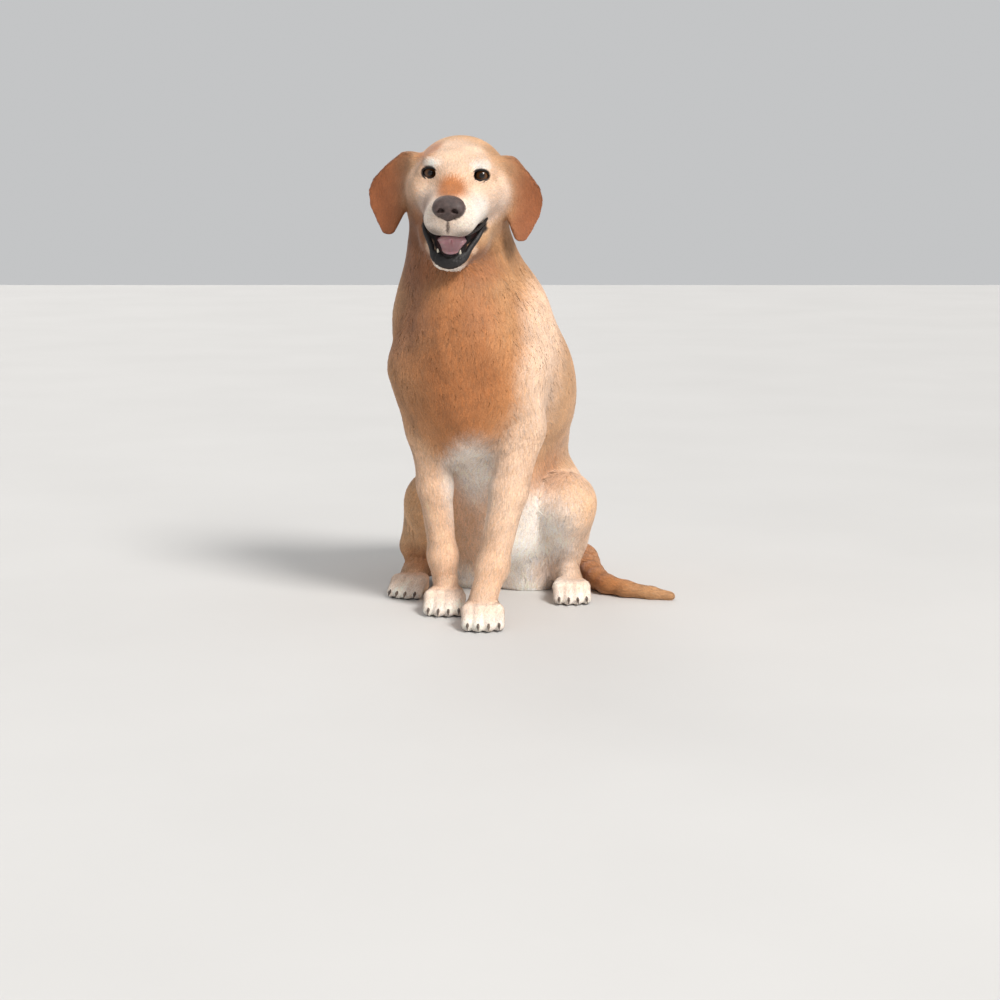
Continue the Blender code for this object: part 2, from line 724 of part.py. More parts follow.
def add_claws(nodes):
    for name in SIDES:
        feet = (
            ("front", FRONT_PAW[name], FRONT_PAW_HEADING[name], 1.0),
            ("hind", HIND_PAW[name], HIND_PAW_HEADING[name], 0.93),
        )
        for foot, paw, heading, size in feet:
            whole = f"{foot}_paw_{name}"
            for number, (_, knuckle, tip) in enumerate(toe_points(paw, heading, size)):
                points = claw_points(knuckle, tip, size)
                nodes[f"claw_{foot}_{name}_{number + 1}"] = claw_tool(points, 0.0)
                nodes[whole] = carved(nodes[whole], claw_tool(points, CUT))


def add_canines(nodes):
    """The two lower canines, joined to the jaw they grow from."""
    for side in SIDES.values():
        root = (side * 0.0140, -0.0765, -0.0640)
        crown = (side * 0.0165, -0.0800, -0.0460)
        tooth = bone(in_jaw(root), in_jaw(crown), 0.0034, 0.0012, 0.001)
        nodes["lower_jaw"] = carved(nodes["lower_jaw"], around([tooth], 0, 90, 0.001), "UNION")


def finish(nodes):
    """Names, colours, and the whole moved so that its box stands centred on the origin."""
    low = np.min([np.min([v.co[:] for v in node.data.vertices], axis=0) for node in nodes.values()], axis=0)
    high = np.max([np.max([v.co[:] for v in node.data.vertices], axis=0) for node in nodes.values()], axis=0)
    shift = -Vector(((low[0] + high[0]) / 2, (low[1] + high[1]) / 2, low[2]))
    for name, node in nodes.items():
        node.data.transform(Matrix.Translation(shift))
        node.name = name
        node.data.name = name
        kind = next((kind for kind in COLOURS if name.startswith(kind)), "coat")
        material = bpy.data.materials.new(f"{name}_{kind}")
        material.use_nodes = True
        shader = material.node_tree.nodes["Principled BSDF"]
        colour, roughness = COLOURS.get(kind, COLOURS["coat"])
        shader.inputs["Base Color"].default_value = (*colour, 1)
        shader.inputs["Roughness"].default_value = roughness
        node.data.materials.clear()
        node.data.materials.append(material)


def main():
    for old in list(bpy.data.objects):
        bpy.data.objects.remove(old, do_unlink=True)
    body = mesh_object("whole", *melt(body_masses(), hollow_masses(), VOXEL))
    body = without_crumbs(flattened(thinned(body, BODY_TRIANGLES, detail)))
    nodes = {name: lightened(node) for name, node in part_body(body).items()}
    add_claws(nodes)
    add_canines(nodes)
    finish(nodes)
    for name in sorted(nodes):
        print(name, len(nodes[name].data.polygons))
    print("total", sum(len(node.data.polygons) for node in nodes.values()))


if __name__ == "__main__":
    main()
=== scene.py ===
"""A yellow Labrador retriever, sitting with its mouth open: skin, coat, face and feet, life size.

Shapes are worked out in the dog's own frame: X to its left, Y to its back, Z up, floor at 0.
They are moved into the shared frame by the place of the left eye. All sizes are in metres.
One skin is melted from the same rounded masses as the solid model, inside them by the coat's depth.
The coat is made of closed tufts that lie along the flow of the hair.
"""

import math

import bmesh
import bpy
import numpy as np
import openvdb
from mathutils import Matrix, Vector


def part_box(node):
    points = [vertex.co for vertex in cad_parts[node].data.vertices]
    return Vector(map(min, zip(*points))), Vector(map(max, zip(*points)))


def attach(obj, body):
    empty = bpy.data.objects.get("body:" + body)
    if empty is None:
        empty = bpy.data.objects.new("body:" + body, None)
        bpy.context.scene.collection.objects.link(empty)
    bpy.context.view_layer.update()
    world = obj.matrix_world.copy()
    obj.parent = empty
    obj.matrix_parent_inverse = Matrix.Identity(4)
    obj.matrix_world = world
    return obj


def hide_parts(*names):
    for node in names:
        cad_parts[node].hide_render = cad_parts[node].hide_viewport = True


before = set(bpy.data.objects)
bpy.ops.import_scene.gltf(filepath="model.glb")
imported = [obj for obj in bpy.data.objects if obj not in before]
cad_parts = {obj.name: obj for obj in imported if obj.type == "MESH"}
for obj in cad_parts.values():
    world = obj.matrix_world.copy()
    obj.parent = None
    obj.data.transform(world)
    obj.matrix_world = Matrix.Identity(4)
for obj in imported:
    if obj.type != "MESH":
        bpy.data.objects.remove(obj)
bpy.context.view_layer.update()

# ---------------------------------------------------------------- driving dimensions
EYE_SPACING = 0.0740
EYE_UP, EYE_FORWARD = 0.0002, 0.0112  # of the eyes' centres, from the head's origin
EYE_LOOKS_UP = math.radians(-16)  # the eyes look level while the head is lowered
EYE_RADIUS = 0.0125
CORNEA_SHARE, CORNEA_BULGE = 0.62, 0.0008  # width as a share of the eye's, and rise
EYELID_RADIUS = 0.0013  # of the bare black rim round each eye
HEAD_PITCH, HEAD_ROLL, HEAD_YAW = math.radians(16), math.radians(2.8), math.radians(-4.5)
JAW_OPEN = math.radians(23)
BODY_YAW = math.radians(-8)  # the rump stands a little to the dog's left
BODY_SLOPE = math.radians(-43)  # the back falls from the withers to the rump
CLAW_RADIUS = 0.0032
HIND_PAW_SIZE = 0.93
FAR = 1.0  # a distance that is well outside any mass

SKIN_VOXEL = 0.0026
SKIN_TRIANGLES = 176000
FLOOR_GAP = 0.0004  # the lowest a hair may lie
CLOSENESS = 0.32  # how much of its full depth the coat keeps where it lies
SIDES = {"right": -1, "left": 1}

CAMERA_PLACE = Vector((0.037, -3.0, 0.66))  # solved from the outline in the photograph
CAMERA_TILT = math.radians(9.46)  # down from level
CAMERA_LENS = 69.876  # millimetres, on a 36 mm sensor

# ---------------------------------------------------------------- landmarks
EYES = Vector((-0.0251, -0.155, 0.666))
HEAD_TURN = (
    Matrix.Rotation(HEAD_YAW, 3, "Z")
    @ Matrix.Rotation(HEAD_ROLL, 3, "Y")
    @ Matrix.Rotation(HEAD_PITCH, 3, "X")
)
JAW_HINGE = Vector((0, 0.05, -0.038))
JAW_TURN = Matrix.Rotation(math.radians(-1.5), 3, "Z") @ Matrix.Rotation(JAW_OPEN, 3, "X")
EYE_TURN = HEAD_TURN @ Matrix.Rotation(EYE_LOOKS_UP, 3, "X")

NECK_TOP = Vector((-0.027, -0.078, 0.605))
NECK_BASE = Vector((-0.015, -0.030, 0.470))
CHEST = Vector((-0.012, -0.088, 0.385))
RIBS = Vector((0.029, 0.045, 0.335))
LOIN = Vector((0.034, 0.150, 0.225))
RUMP = Vector((0.043, 0.220, 0.125))

ELBOW = {"right": Vector((-0.0715, -0.078, 0.285)), "left": Vector((0.070, -0.100, 0.285))}
WRIST = {"right": Vector((-0.0510, -0.066, 0.085)), "left": Vector((0.0262, -0.144, 0.085))}
FRONT_PAW = {"right": Vector((-0.0465, -0.082, 0)), "left": Vector((0.0110, -0.182, 0))}
KNEE = {"right": Vector((-0.070, 0.042, 0.150)), "left": Vector((0.145, 0.028, 0.150))}
HOCK = {"right": Vector((-0.074, 0.160, 0.040)), "left": Vector((0.130, 0.150, 0.040))}
HIND_PAW = {"right": Vector((-0.103, 0.040, 0)), "left": Vector((0.148, -0.002, 0))}
HIND_PAW_HEADING = {"right": math.radians(-22), "left": math.radians(4)}
FORELEG_THICKNESS = {"right": 1.0, "left": 1.08}
EAR_WIDTH = {"right": 1.0, "left": 0.88}
FRONT_PAW_HEADING = {"right": math.radians(-3), "left": math.radians(2)}

EAR_OUTLINE = (  # outward from the ear's inner edge, down from its root
    (0.000, 0.005),
    (0.011, 0.006),
    (0.032, 0.026),
    (0.048, 0.048),
    (0.0515, 0.063),
    (0.045, 0.081),
    (0.030, 0.099),
    (0.017, 0.1105),
    (0.012, 0.1105),
    (0.006, 0.085),
    (0.002, 0.050),
)

TAIL = (
    Vector((0.060, 0.287, 0.054)),
    Vector((0.125, 0.292, 0.026)),
    Vector((0.174, 0.235, 0.022)),
    Vector((0.184, 0.140, 0.019)),
    Vector((0.212, 0.040, 0.0155)),
    Vector((0.306, 0.001, 0.0055)),
)
TAIL_RADIUS_AT_ROOT, TAIL_RADIUS_AT_TIP = 0.031, 0.008
TAIL_TAPER = 1.6  # above 1, the tail keeps its thickness near the root
TAIL_STEPS = 14

# Base colours of the coat, as linear red, green and blue.
CREAM = (0.80, 0.57, 0.42)
SNOW = (0.92, 0.86, 0.80)
WHITE = (0.90, 0.82, 0.75)
FAWN = (0.62, 0.36, 0.19)
PEACH = (0.80, 0.52, 0.35)
TAN = (0.50, 0.27, 0.13)
ORANGE = (0.50, 0.215, 0.080)
RED = (0.30, 0.102, 0.040)
BLACK = (0.016, 0.012, 0.011)


# ---------------------------------------------------------------- masses
class Mass:
    """A rounded mass: a function from points to distances, its box, and how softly it joins.

    depth, tone and flow describe its coat: thickness, colour, and the way the hair lies.
    """

    def __init__(self, distance, low, high, blend, flow=(0, 0, -1)):
        self.distance = distance
        self.low = np.array(low) - blend
        self.high = np.array(high) + blend
        self.blend = blend
        self.depth = 0.0
        self.tone = FAWN
        self.flow = Vector(flow)


def coated(masses, depth, tone, flow=None):
    """The masses, once they know their coat."""
    for mass in masses:
        mass.depth = CLOSENESS * depth
        mass.tone = tone
        mass.flow = Vector(flow or mass.flow).normalized()
    return masses


def ellipsoid(centre, radii, blend=0.02, turn=None):
    """An ellipsoid, turned by a 3x3 matrix about its centre."""
    centre = np.array(centre)
    axes = np.array(turn or Matrix.Identity(3))
    radii = np.array(radii)

    def distance(points):
        local = (points - centre) @ axes
        inner = np.linalg.norm(local / radii, axis=1)
        slope = np.linalg.norm(local / radii**2, axis=1) + 1e-9
        return inner * (inner - 1) / slope

    reach = np.abs(axes) @ radii
    return Mass(distance, centre - reach, centre + reach, blend)


def bone(start, end, start_radius, end_radius, blend=0.02, flat=1.0, side=(1, 0, 0)):
    """A tapered rod with round ends. Its thickness along side is flat times the radius."""
    start, end = np.array(start), np.array(end)
    side = np.array(Vector(side).normalized())

    def widened(vectors):
        return vectors + np.outer(vectors @ side, side) * (1 / flat - 1)

    axis = widened((end - start)[None])[0]
    length_squared = max(axis @ axis, 1e-9)

    def distance(points):
        local = widened(points - start)
        along = np.clip(local @ axis / length_squared, 0, 1)
        radius = start_radius + (end_radius - start_radius) * along
        gap = np.linalg.norm(local - along[:, None] * axis, axis=1) - radius
        return gap * min(1.0, flat)

    reach = max(start_radius, end_radius) * max(1.0, flat)
    low, high = np.minimum(start, end) - reach, np.maximum(start, end) + reach
    return Mass(distance, low, high, blend, end - start)


def ear_flap(base, along, across, outline, thickness, cup, blend=0.01):
    """A thin hanging flap: an outline in the plane of along and across, cupped to the cheek."""
    base = np.array(base)
    along = np.array(Vector(along).normalized())
    across = np.array(Vector(across).normalized())
    across = across - along * (across @ along)
    across /= np.linalg.norm(across)
    outward = np.cross(across, along)
    corners = np.array(outline)
    rounding = 0.006

    def outline_distance(flat):
        nearest = np.full(len(flat), FAR)
        inside = np.zeros(len(flat), bool)
        for a, b in zip(corners, np.roll(corners, -1, axis=0)):
            edge, away = b - a, flat - a
            share = np.clip(away @ edge / (edge @ edge), 0, 1)
            nearest = np.minimum(nearest, np.linalg.norm(away - share[:, None] * edge, axis=1))
            crosses = (a[1] > flat[:, 1]) != (b[1] > flat[:, 1])
            rise = np.where(crosses, flat[:, 1] - a[1], 0) / (b[1] - a[1] + 1e-12)
            inside ^= crosses & (flat[:, 0] < a[0] + rise * edge[0])
        return np.where(inside, -nearest, nearest) - rounding

    def distance(points):
        local = points - base
        flat = np.stack([local @ across, local @ along], axis=1)
        bend = cup * (flat[:, 0] - 0.02) ** 2 + 0.8 * cup * np.maximum(flat[:, 1] - 0.05, 0) ** 2
        sheet = np.abs(local @ outward + bend) - thickness / 2
        edge = outline_distance(flat)
        return np.where(
            (sheet > 0) & (edge > 0),
            np.hypot(np.maximum(sheet, 0), np.maximum(edge, 0)),
            np.maximum(sheet, edge),
        ) - 0.0022

    reach = np.abs(corners).max() + rounding + thickness
    return Mass(distance, base - reach, base + reach, blend, along)


def soft_union(a, b, blend):
    overlap = np.maximum(blend - np.abs(a - b), 0)
    return np.minimum(a, b) - overlap**2 / (4 * max(blend, 1e-9))


def in_head(point):
    """From the head's own level frame, with its origin between the eyes, to the dog's frame."""
    return HEAD_TURN @ Vector(point) + EYES


def in_jaw(point):
    """From the closed jaw's place in the head's frame to the open jaw's in the dog's frame."""
    return in_head(JAW_TURN @ (Vector(point) - JAW_HINGE) + JAW_HINGE)


def head_way(*way):
    """A direction in the head's frame, turned to the dog's."""
    return HEAD_TURN @ Vector(way)


def head_mass(centre, radii, blend=0.02):
    return ellipsoid(in_head(centre), radii, blend, HEAD_TURN)


def jaw_mass(centre, radii, blend=0.02):
    return ellipsoid(in_jaw(centre), radii, blend, HEAD_TURN @ JAW_TURN)


def head_bone(start, end, start_radius, end_radius, blend=0.02, flat=1.0):
    side = head_way(1, 0, 0)
    return bone(in_head(start), in_head(end), start_radius, end_radius, blend, flat, side)


def jaw_bone(start, end, start_radius, end_radius, blend=0.02):
    return bone(in_jaw(start), in_jaw(end), start_radius, end_radius, blend)


# ---------------------------------------------------------------- the dog's masses
def skull_masses():
    """Cranium, brows, cheeks, muzzle and upper lips."""
    cranium = head_mass((0, 0.050, -0.0125), (0.064, 0.078, 0.0500))
    forehead = head_mass((0, 0.004, 0.002), (0.050, 0.044, 0.034))
    bridge = head_bone((0, -0.012, -0.027), (0, -0.088, -0.033), 0.031, 0.0235, 0.022, 1.0)
    muzzle_end = head_mass((0, -0.094, -0.036), (0.025, 0.014, 0.022), 0.012)
    masses = coated([cranium], 0.0032, FAWN, head_way(0, 1, -0.15))
    masses += coated([forehead], 0.0022, CREAM, head_way(0, 0.7, 0.7))
    masses += coated([bridge], 0.0016, PEACH, head_way(0, 1, 0.15))
    masses += coated([muzzle_end], 0.0010, WHITE, head_way(0, 0.8, -0.6))
    for side in SIDES.values():
        brow = head_mass((side * 0.030, -0.014, 0.0200), (0.018, 0.012, 0.010), 0.012)
        eye_side = head_mass((side * 0.049, 0.012, -0.026), (0.022, 0.042, 0.024), 0.025)
        cheek = head_mass((side * 0.050, 0.050, -0.046), (0.026, 0.045, 0.040), 0.030)
        start, end = (side * 0.023, -0.018, -0.044), (side * 0.0165, -0.083, -0.046)
        flew = head_bone(start, end, 0.0245, 0.0205)
        eye = (side * EYE_SPACING / 2, -0.010, EYE_UP + 0.004)
        lids = head_mass(eye, (0.0175, 0.0140, 0.0130), 0.008)
        masses += coated([brow], 0.0020, CREAM, head_way(side * 0.5, 0.5, 0.7))
        masses += coated([eye_side], 0.0024, PEACH, head_way(side * 0.4, 1, -0.4))
        masses += coated([cheek], 0.0040, FAWN, head_way(side * 0.2, 0.7, -0.8))
        masses += coated([flew], 0.0014, WHITE, head_way(side * 0.2, 1, -0.35))
        masses += coated([lids], 0.0012, PEACH, head_way(side * 0.8, 0.6, 0))
    return masses


def jaw_masses():
    """Lower jaw with its lips, opened about its hinge."""
    masses = [
        jaw_mass((0, -0.077, -0.066), (0.0195, 0.015, 0.0125), 0.015),
        jaw_mass((0, 0.000, -0.072), (0.034, 0.065, 0.017), 0.025),
    ]
    for side in SIDES.values():
        masses += [
            jaw_bone((side * 0.044, 0.045, -0.055), (side * 0.030, -0.030, -0.062), 0.024, 0.0145),
            jaw_bone(
                (side * 0.030, -0.030, -0.062), (side * 0.0125, -0.078, -0.064), 0.0145, 0.0095
            ),
        ]
    return coated(masses, 0.0016, FAWN, head_way(0, 0.9, -0.5))


def ear_masses():
    masses = []
    for name, side in SIDES.items():
        base = in_head((side * 0.069 - 0.003, 0.038, 0.012))
        outline = [(EAR_WIDTH[name] * x, z) for x, z in EAR_OUTLINE]
        along = head_way(side * 0.09, -0.14, -1.00)
        across = head_way(side * 0.90, 0.42, 0)
        flap = ear_flap(base, along, across, outline, 0.0055, side * 5.0)
        start, end = (side * 0.060, 0.028, 0.005), (side * 0.073, 0.052, -0.002)
        root = head_bone(start, end, 0.011, 0.013, 0.012)
        masses += coated([flap], 0.0016, RED)
        masses += coated([root], 0.0022, TAN, head_way(side, 0.3, -0.5))
    return masses


def neck_masses():
    nape = bone(NECK_TOP, NECK_BASE, 0.070, 0.100, 0.04)
    throat = bone((-0.031, -0.098, 0.545), (-0.014, -0.120, 0.440), 0.048, 0.072, 0.03)
    side = bone((0.000, -0.030, 0.530), (0.028, -0.010, 0.460), 0.040, 0.055, 0.04)
    masses = coated([nape], 0.0045, TAN)
    masses += coated([throat], 0.0040, TAN)
    return masses + coated([side], 0.0042, FAWN)


def trunk_masses():
    """Chest, shoulders, ribs, belly and rump."""
    turn = Matrix.Rotation(BODY_YAW, 3, "Z") @ Matrix.Rotation(BODY_SLOPE, 3, "X")
    down = turn @ Vector((0, 1, 0))
    ribs = [
        ellipsoid(RIBS, (0.128, 0.190, 0.122), 0.04, turn),
        bone(LOIN, RUMP, 0.112, 0.116, 0.04),
    ]
    below = [
        bone((-0.006, -0.045, 0.300), (0.030, 0.075, 0.165), 0.066, 0.088, 0.04),
        bone((0.040, 0.080, 0.120), (0.048, 0.150, 0.085), 0.082, 0.090, 0.04),
    ]
    groin = [
        ellipsoid((0.083, 0.105, 0.060), (0.062, 0.055, 0.085), 0.03),
        ellipsoid((-0.005, 0.120, 0.060), (0.062, 0.055, 0.075), 0.03),
    ]
    masses = coated([ellipsoid(CHEST, (0.098, 0.100, 0.140), 0.04)], 0.0042, ORANGE, (0, 0.1, -1))
    masses += coated(ribs, 0.0042, FAWN, down)
    masses += coated(below, 0.0038, PEACH, (0, 0.3, -1))
    masses += coated(groin, 0.0040, WHITE, (0, -0.2, -1))
    for name, side in SIDES.items():
        centre = (CHEST.x + 0.009 + side * 0.068, -0.040, 0.415)
        blade = ellipsoid(centre, (0.052, 0.076, 0.098), 0.03)
        # Painted light and shade over the coat's own colour: the dog's left shoulder, towards the
        # key light, is peach and its right is fawn.
        tone = PEACH if name == "left" else FAWN
        masses += coated([blade], 0.0038, tone, (side * 0.1, 0.35, -1))
    return masses


def foreleg_masses(name):
    side = SIDES[name]
    elbow, wrist = ELBOW[name], WRIST[name]
    shoulder = Vector((CHEST.x + side * 0.068, -0.098, 0.375))
    middle = elbow.lerp(wrist, 0.45)
    thick = FORELEG_THICKNESS[name]
    pastern = FRONT_PAW[name] + Vector((0, 0.014, 0.036))
    # Painted light and shade over the coat's own colour: the dog's left upper arm, towards the key
    # light, is peach and its right is fawn.
    tone = PEACH if name == "left" else FAWN
    masses = coated([bone(shoulder, elbow, 0.050, 0.031, 0.03)], 0.0034, tone)
    lower = [
        bone(elbow, middle, 0.0305 * thick, 0.0255 * thick, 0.02),
        bone(middle, wrist, 0.0255 * thick, 0.0205 * thick, 0.015),
        ellipsoid(wrist, np.array((0.0215, 0.0225, 0.025)) * thick, 0.012),
        bone(wrist, pastern, 0.0195 * thick, 0.0200 * thick, 0.012),
    ]
    return masses + coated(lower, 0.0024, PEACH)


def hindleg_masses(name):
    side = SIDES[name]
    knee, hock, paw = KNEE[name], HOCK[name], HIND_PAW[name]
    thigh = Vector((0.0400 + side * 0.0975, 0.140, 0.112))
    instep = paw + Vector((0, 0.025, 0.030))
    upper = [
        ellipsoid(thigh, (0.049, 0.115, 0.085), 0.03, Matrix.Rotation(math.radians(-12), 3, "X")),
        ellipsoid(knee, (0.034, 0.038, 0.046), 0.03),
    ]
    lower = [
        bone(knee, instep + Vector((0, 0.030, 0.040)), 0.030, 0.0235, 0.02),
        bone(knee, hock, 0.038, 0.025, 0.03),
        bone(hock, instep, 0.0225, 0.0200, 0.02),
    ]
    # Painted light and shade over the coat's own colour: the dog's left thigh, towards the key
    # light, is cream and its right is fawn.
    tone = CREAM if name == "left" else FAWN
    masses = coated(upper, 0.0038, tone, (0, -0.5, -0.8))
    return masses + coated(lower, 0.0030, FAWN)


def paws(name):
    """The name, place, heading and size of both paws of one side."""
    yield "front", FRONT_PAW[name], FRONT_PAW_HEADING[name], 1.0
    yield "hind", HIND_PAW[name], HIND_PAW_HEADING[name], HIND_PAW_SIZE


def toe_points(paw, heading, size):
    """Root, knuckle and tip of each of a paw's four toes."""
    turn = Matrix.Rotation(heading, 3, "Z")
    for number in range(4):
        across = number - 1.5
        reach = 1.0 - 0.16 * across**2 * 0.45
        root = Vector((across * 0.0110, 0.008, 0.0270))
        knuckle = Vector((across * 0.0142, -0.018 * reach, 0.0265))
        tip = Vector((across * 0.0150, -0.0385 * reach, 0.0098))
        yield tuple(paw + turn @ (point * size) for point in (root, knuckle, tip))


def paw_masses(paw, heading, size):
    turn = Matrix.Rotation(heading, 3, "Z")
    palm = paw + turn @ Vector((0, 0.006, 0.016)) * size
    flow = turn @ Vector((0, -1, -0.4))
    radii = np.array((0.027, 0.026, 0.020)) * size
    masses = coated([ellipsoid(palm, radii, 0.012, turn)], 0.0014, FAWN, flow)
    for root, knuckle, tip in toe_points(paw, heading, size):
        toe = bone(root, knuckle, 0.0112 * size, 0.0106 * size, 0.004)
        end = bone(knuckle, tip, 0.0106 * size, 0.0100 * size, 0.003)
        masses += coated([toe], 0.0012, PEACH)
        masses += coated([end], 0.0010, WHITE)
    return masses


def curve_point(points, i, t):
    """A smooth curve through all the points, at share t of the way from point i to the next."""
    before, after = points[max(i - 1, 0)], points[min(i + 2, len(points) - 1)]
    a, b = points[i], points[i + 1]
    return 0.5 * (
        2 * a
        + (b - before) * t
        + (2 * before - 5 * a + 4 * b - after) * t**2
        + (3 * a - before - 3 * b + after) * t**3
    )


def tail_points():
    """Points along the tail's smooth curve, with the tail's radius at each."""
    points = []
    for number in range(TAIL_STEPS + 1):
        share = number / TAIL_STEPS
        place = share * (len(TAIL) - 1)
        i = min(int(place), len(TAIL) - 2)
        fade = share**TAIL_TAPER
        radius = TAIL_RADIUS_AT_ROOT + (TAIL_RADIUS_AT_TIP - TAIL_RADIUS_AT_ROOT) * fade
        points.append((curve_point(TAIL, i, place - i), radius))
    return points


def tail_masses():
    points = tail_points()
    masses = [bone(a, b, ra, rb, 0.008) for (a, ra), (b, rb) in zip(points, points[1:])]
    for number, mass in enumerate(masses):
        thin = 1 - number / len(masses)
        coated([mass], 0.0018 + 0.0036 * thin, ORANGE if number < len(masses) - 2 else TAN)
    return masses


def body_masses():
    masses = trunk_masses() + neck_masses() + skull_masses() + jaw_masses() + ear_masses()
    for name in SIDES:
        masses += foreleg_masses(name) + hindleg_masses(name)
        for _, *paw in paws(name):
            masses += paw_masses(*paw)
    return masses + tail_masses()


def mouth_masses():
    """The hollow of the open mouth: above the tongue, and in the lower jaw."""
    return [
        head_mass((0, -0.048, -0.078), (0.022, 0.062, 0.020), 0.006),
        head_mass((0, -0.022, -0.0735), (0.0430, 0.024, 0.0065), 0.004),
        head_mass((0, -0.045, -0.0790), (0.0370, 0.030, 0.0105), 0.004),
        head_mass((0, -0.070, -0.0860), (0.0270, 0.030, 0.0170), 0.004),
        jaw_mass((0, -0.034, -0.047), (0.0250, 0.054, 0.0145), 0.006),
    ]


def eye_centre(side):
    return in_head((side * EYE_SPACING / 2, -EYE_FORWARD, EYE_UP))


def eye_opening(side):
    centre = eye_centre(side) + EYE_TURN @ Vector((0, -0.0155, 0))
    return ellipsoid(centre, (0.0122, 0.0115, 0.0082), 0.002, EYE_TURN)


def nose_bed():
    """Where the leather of the nose sits on the muzzle."""
    return head_mass((0, -0.1015, -0.0215), (0.0225, 0.0175, 0.0175), 0.003)


# ---------------------------------------------------------------- from masses to meshes
class Field:
    """Distances to a melted body on a grid, which can be read back at any point."""

    def __init__(self, masses, hollows, voxel):
        self.voxel = voxel
        self.low = np.min([mass.low for mass in masses], axis=0) - 4 * voxel
        high = np.max([mass.high for mass in masses], axis=0) + 4 * voxel
        counts = np.ceil((high - self.low) / voxel).astype(int)
        self.values = np.full(counts, 0.05, np.float32)
        axes = [self.low[k] + voxel * np.arange(counts[k]) for k in range(3)]
        for group, carve in ((masses, False), (hollows, True)):
            for mass in group:
                first = [max(int(np.searchsorted(axes[k], mass.low[k])) - 4, 0) for k in range(3)]
                last = [int(np.searchsorted(axes[k], mass.high[k])) + 4 for k in range(3)]
                window = tuple(slice(a, b) for a, b in zip(first, last))
                corners = [axes[k][window[k]] for k in range(3)]
                grid = np.stack(np.meshgrid(*corners, indexing="ij"), -1)
                near = mass.distance(grid.reshape(-1, 3)).reshape(grid.shape[:3]) + mass.depth
                if carve:
                    self.values[window] = -soft_union(-self.values[window], near, mass.blend)
                else:
                    self.values[window] = soft_union(self.values[window], near, mass.blend)

    def mesh(self):
        grid = openvdb.FloatGrid(FAR)
        grid.copyFromArray(np.ascontiguousarray(self.values))
        points, _, quads = grid.convertToPolygons(0.0, 0.0)
        triangles = np.concatenate([quads[:, [0, 1, 2]], quads[:, [0, 2, 3]]])
        return points * self.voxel + self.low, triangles

    def at(self, points):
        """Distances at points, blended between the grid's own."""
        place = (points - self.low) / self.voxel
        place = np.clip(place, 0, np.array(self.values.shape) - 1.001)
        cell = place.astype(int)
        share = place - cell
        total = np.zeros(len(points))
        for corner in np.ndindex(2, 2, 2):
            weight = np.prod(np.where(np.array(corner) == 1, share, 1 - share), axis=1)
            index = cell + corner
            total += weight * self.values[index[:, 0], index[:, 1], index[:, 2]]
        return total

    def outward(self, points):
        """Unit vectors away from the body."""
        step = self.voxel
        ways = step * np.eye(3)
        slope = np.stack([self.at(points + way) - self.at(points - way) for way in ways], axis=1)
        return slope / (np.linalg.norm(slope, axis=1, keepdims=True) + 1e-9)

    def raised(self, points, heights):
        """The points moved in or out until they stand at their heights over the body."""
        for _ in range(2):
            points = points + self.outward(points) * (heights - self.at(points))[:, None]
        return points


def mesh_object(name, points, faces):
    """An object from points and a list of equally long faces."""
    mesh = bpy.data.meshes.new(name)
    faces = np.asarray(faces, np.int32)
    count, length = faces.shape
    mesh.vertices.add(len(points))
    mesh.vertices.foreach_set("co", np.asarray(points, np.float32).ravel())
    mesh.loops.add(count * length)
    mesh.loops.foreach_set("vertex_index", faces.ravel())
    mesh.polygons.add(count)
    mesh.polygons.foreach_set("loop_start", np.arange(0, count * length, length, dtype=np.int32))
    mesh.update()
    mesh.validate()
    smoothed(mesh)
    made = bpy.data.objects.new(name, mesh)
    bpy.context.scene.collection.objects.link(made)
    return made


def object_of(name, mesh):
    """An object made of a bmesh, which is freed."""
    made = bpy.data.objects.new(name, bpy.data.meshes.new(name))
    mesh.to_mesh(made.data)
    mesh.free()
    bpy.context.scene.collection.objects.link(made)
    return made


def melted(name, masses, hollows, voxel):
    return mesh_object(name, *Field(masses, hollows, voxel).mesh())


def applied(obj):
    """The object with its modifiers made real."""
    graph = bpy.context.evaluated_depsgraph_get()
    mesh = bpy.data.meshes.new_from_object(obj.evaluated_get(graph))
    obj.modifiers.clear()
    obj.data = mesh
    return obj


def values_of(items, name, width, kind=np.float32):
    """An attribute of every item of a mesh, as rows of width numbers."""
    values = np.empty(width * len(items), kind)
    items.foreach_get(name, values)
    return values.reshape(-1, width)


def coordinates(mesh):
    return values_of(mesh.vertices, "co", 3).astype(float)


def smoothed(mesh):
    mesh.polygons.foreach_set("use_smooth", np.ones(len(mesh.polygons), bool))


def thinned(obj, triangles, detailed):
    """The object with fewer triangles, of which more are kept where detailed(points) is near 1."""
    decimate = obj.modifiers.new("thin", "DECIMATE")
    decimate.ratio = triangles / len(obj.data.polygons)
    group = obj.vertex_groups.new(name="plain")
    for index, weight in enumerate((1 - detailed(coordinates(obj.data))).tolist()):
        group.add([index], weight, "REPLACE")
    decimate.vertex_group = group.name
    decimate.vertex_group_factor = 1.5
    applied(obj)
    obj.vertex_groups.clear()
    return obj


def flattened(obj):
    """The object cut off level at the floor, so that it rests on flats there."""
    mesh = bmesh.new()
    mesh.from_mesh(obj.data)
    every = mesh.verts[:] + mesh.edges[:] + mesh.faces[:]
    cut = bmesh.ops.bisect_plane(
        mesh, geom=every, dist=1e-6, plane_co=(0, 0, 0), plane_no=(0, 0, 1), clear_inner=True
    )
    rim = [item for item in cut["geom_cut"] if isinstance(item, bmesh.types.BMEdge)]
    bmesh.ops.triangle_fill(mesh, edges=rim, use_beauty=True)
    bmesh.ops.triangulate(mesh, faces=mesh.faces)
    bmesh.ops.recalc_face_normals(mesh, faces=mesh.faces)
    mesh.to_mesh(obj.data)
    mesh.free()
    return obj


def smooth_step(value, edge, full):
    """0 where value is beyond edge, 1 where it is within full, and a soft rise between."""
    share = np.clip((value - edge) / (full - edge), 0, 1)
    return share * share * (3 - 2 * share)


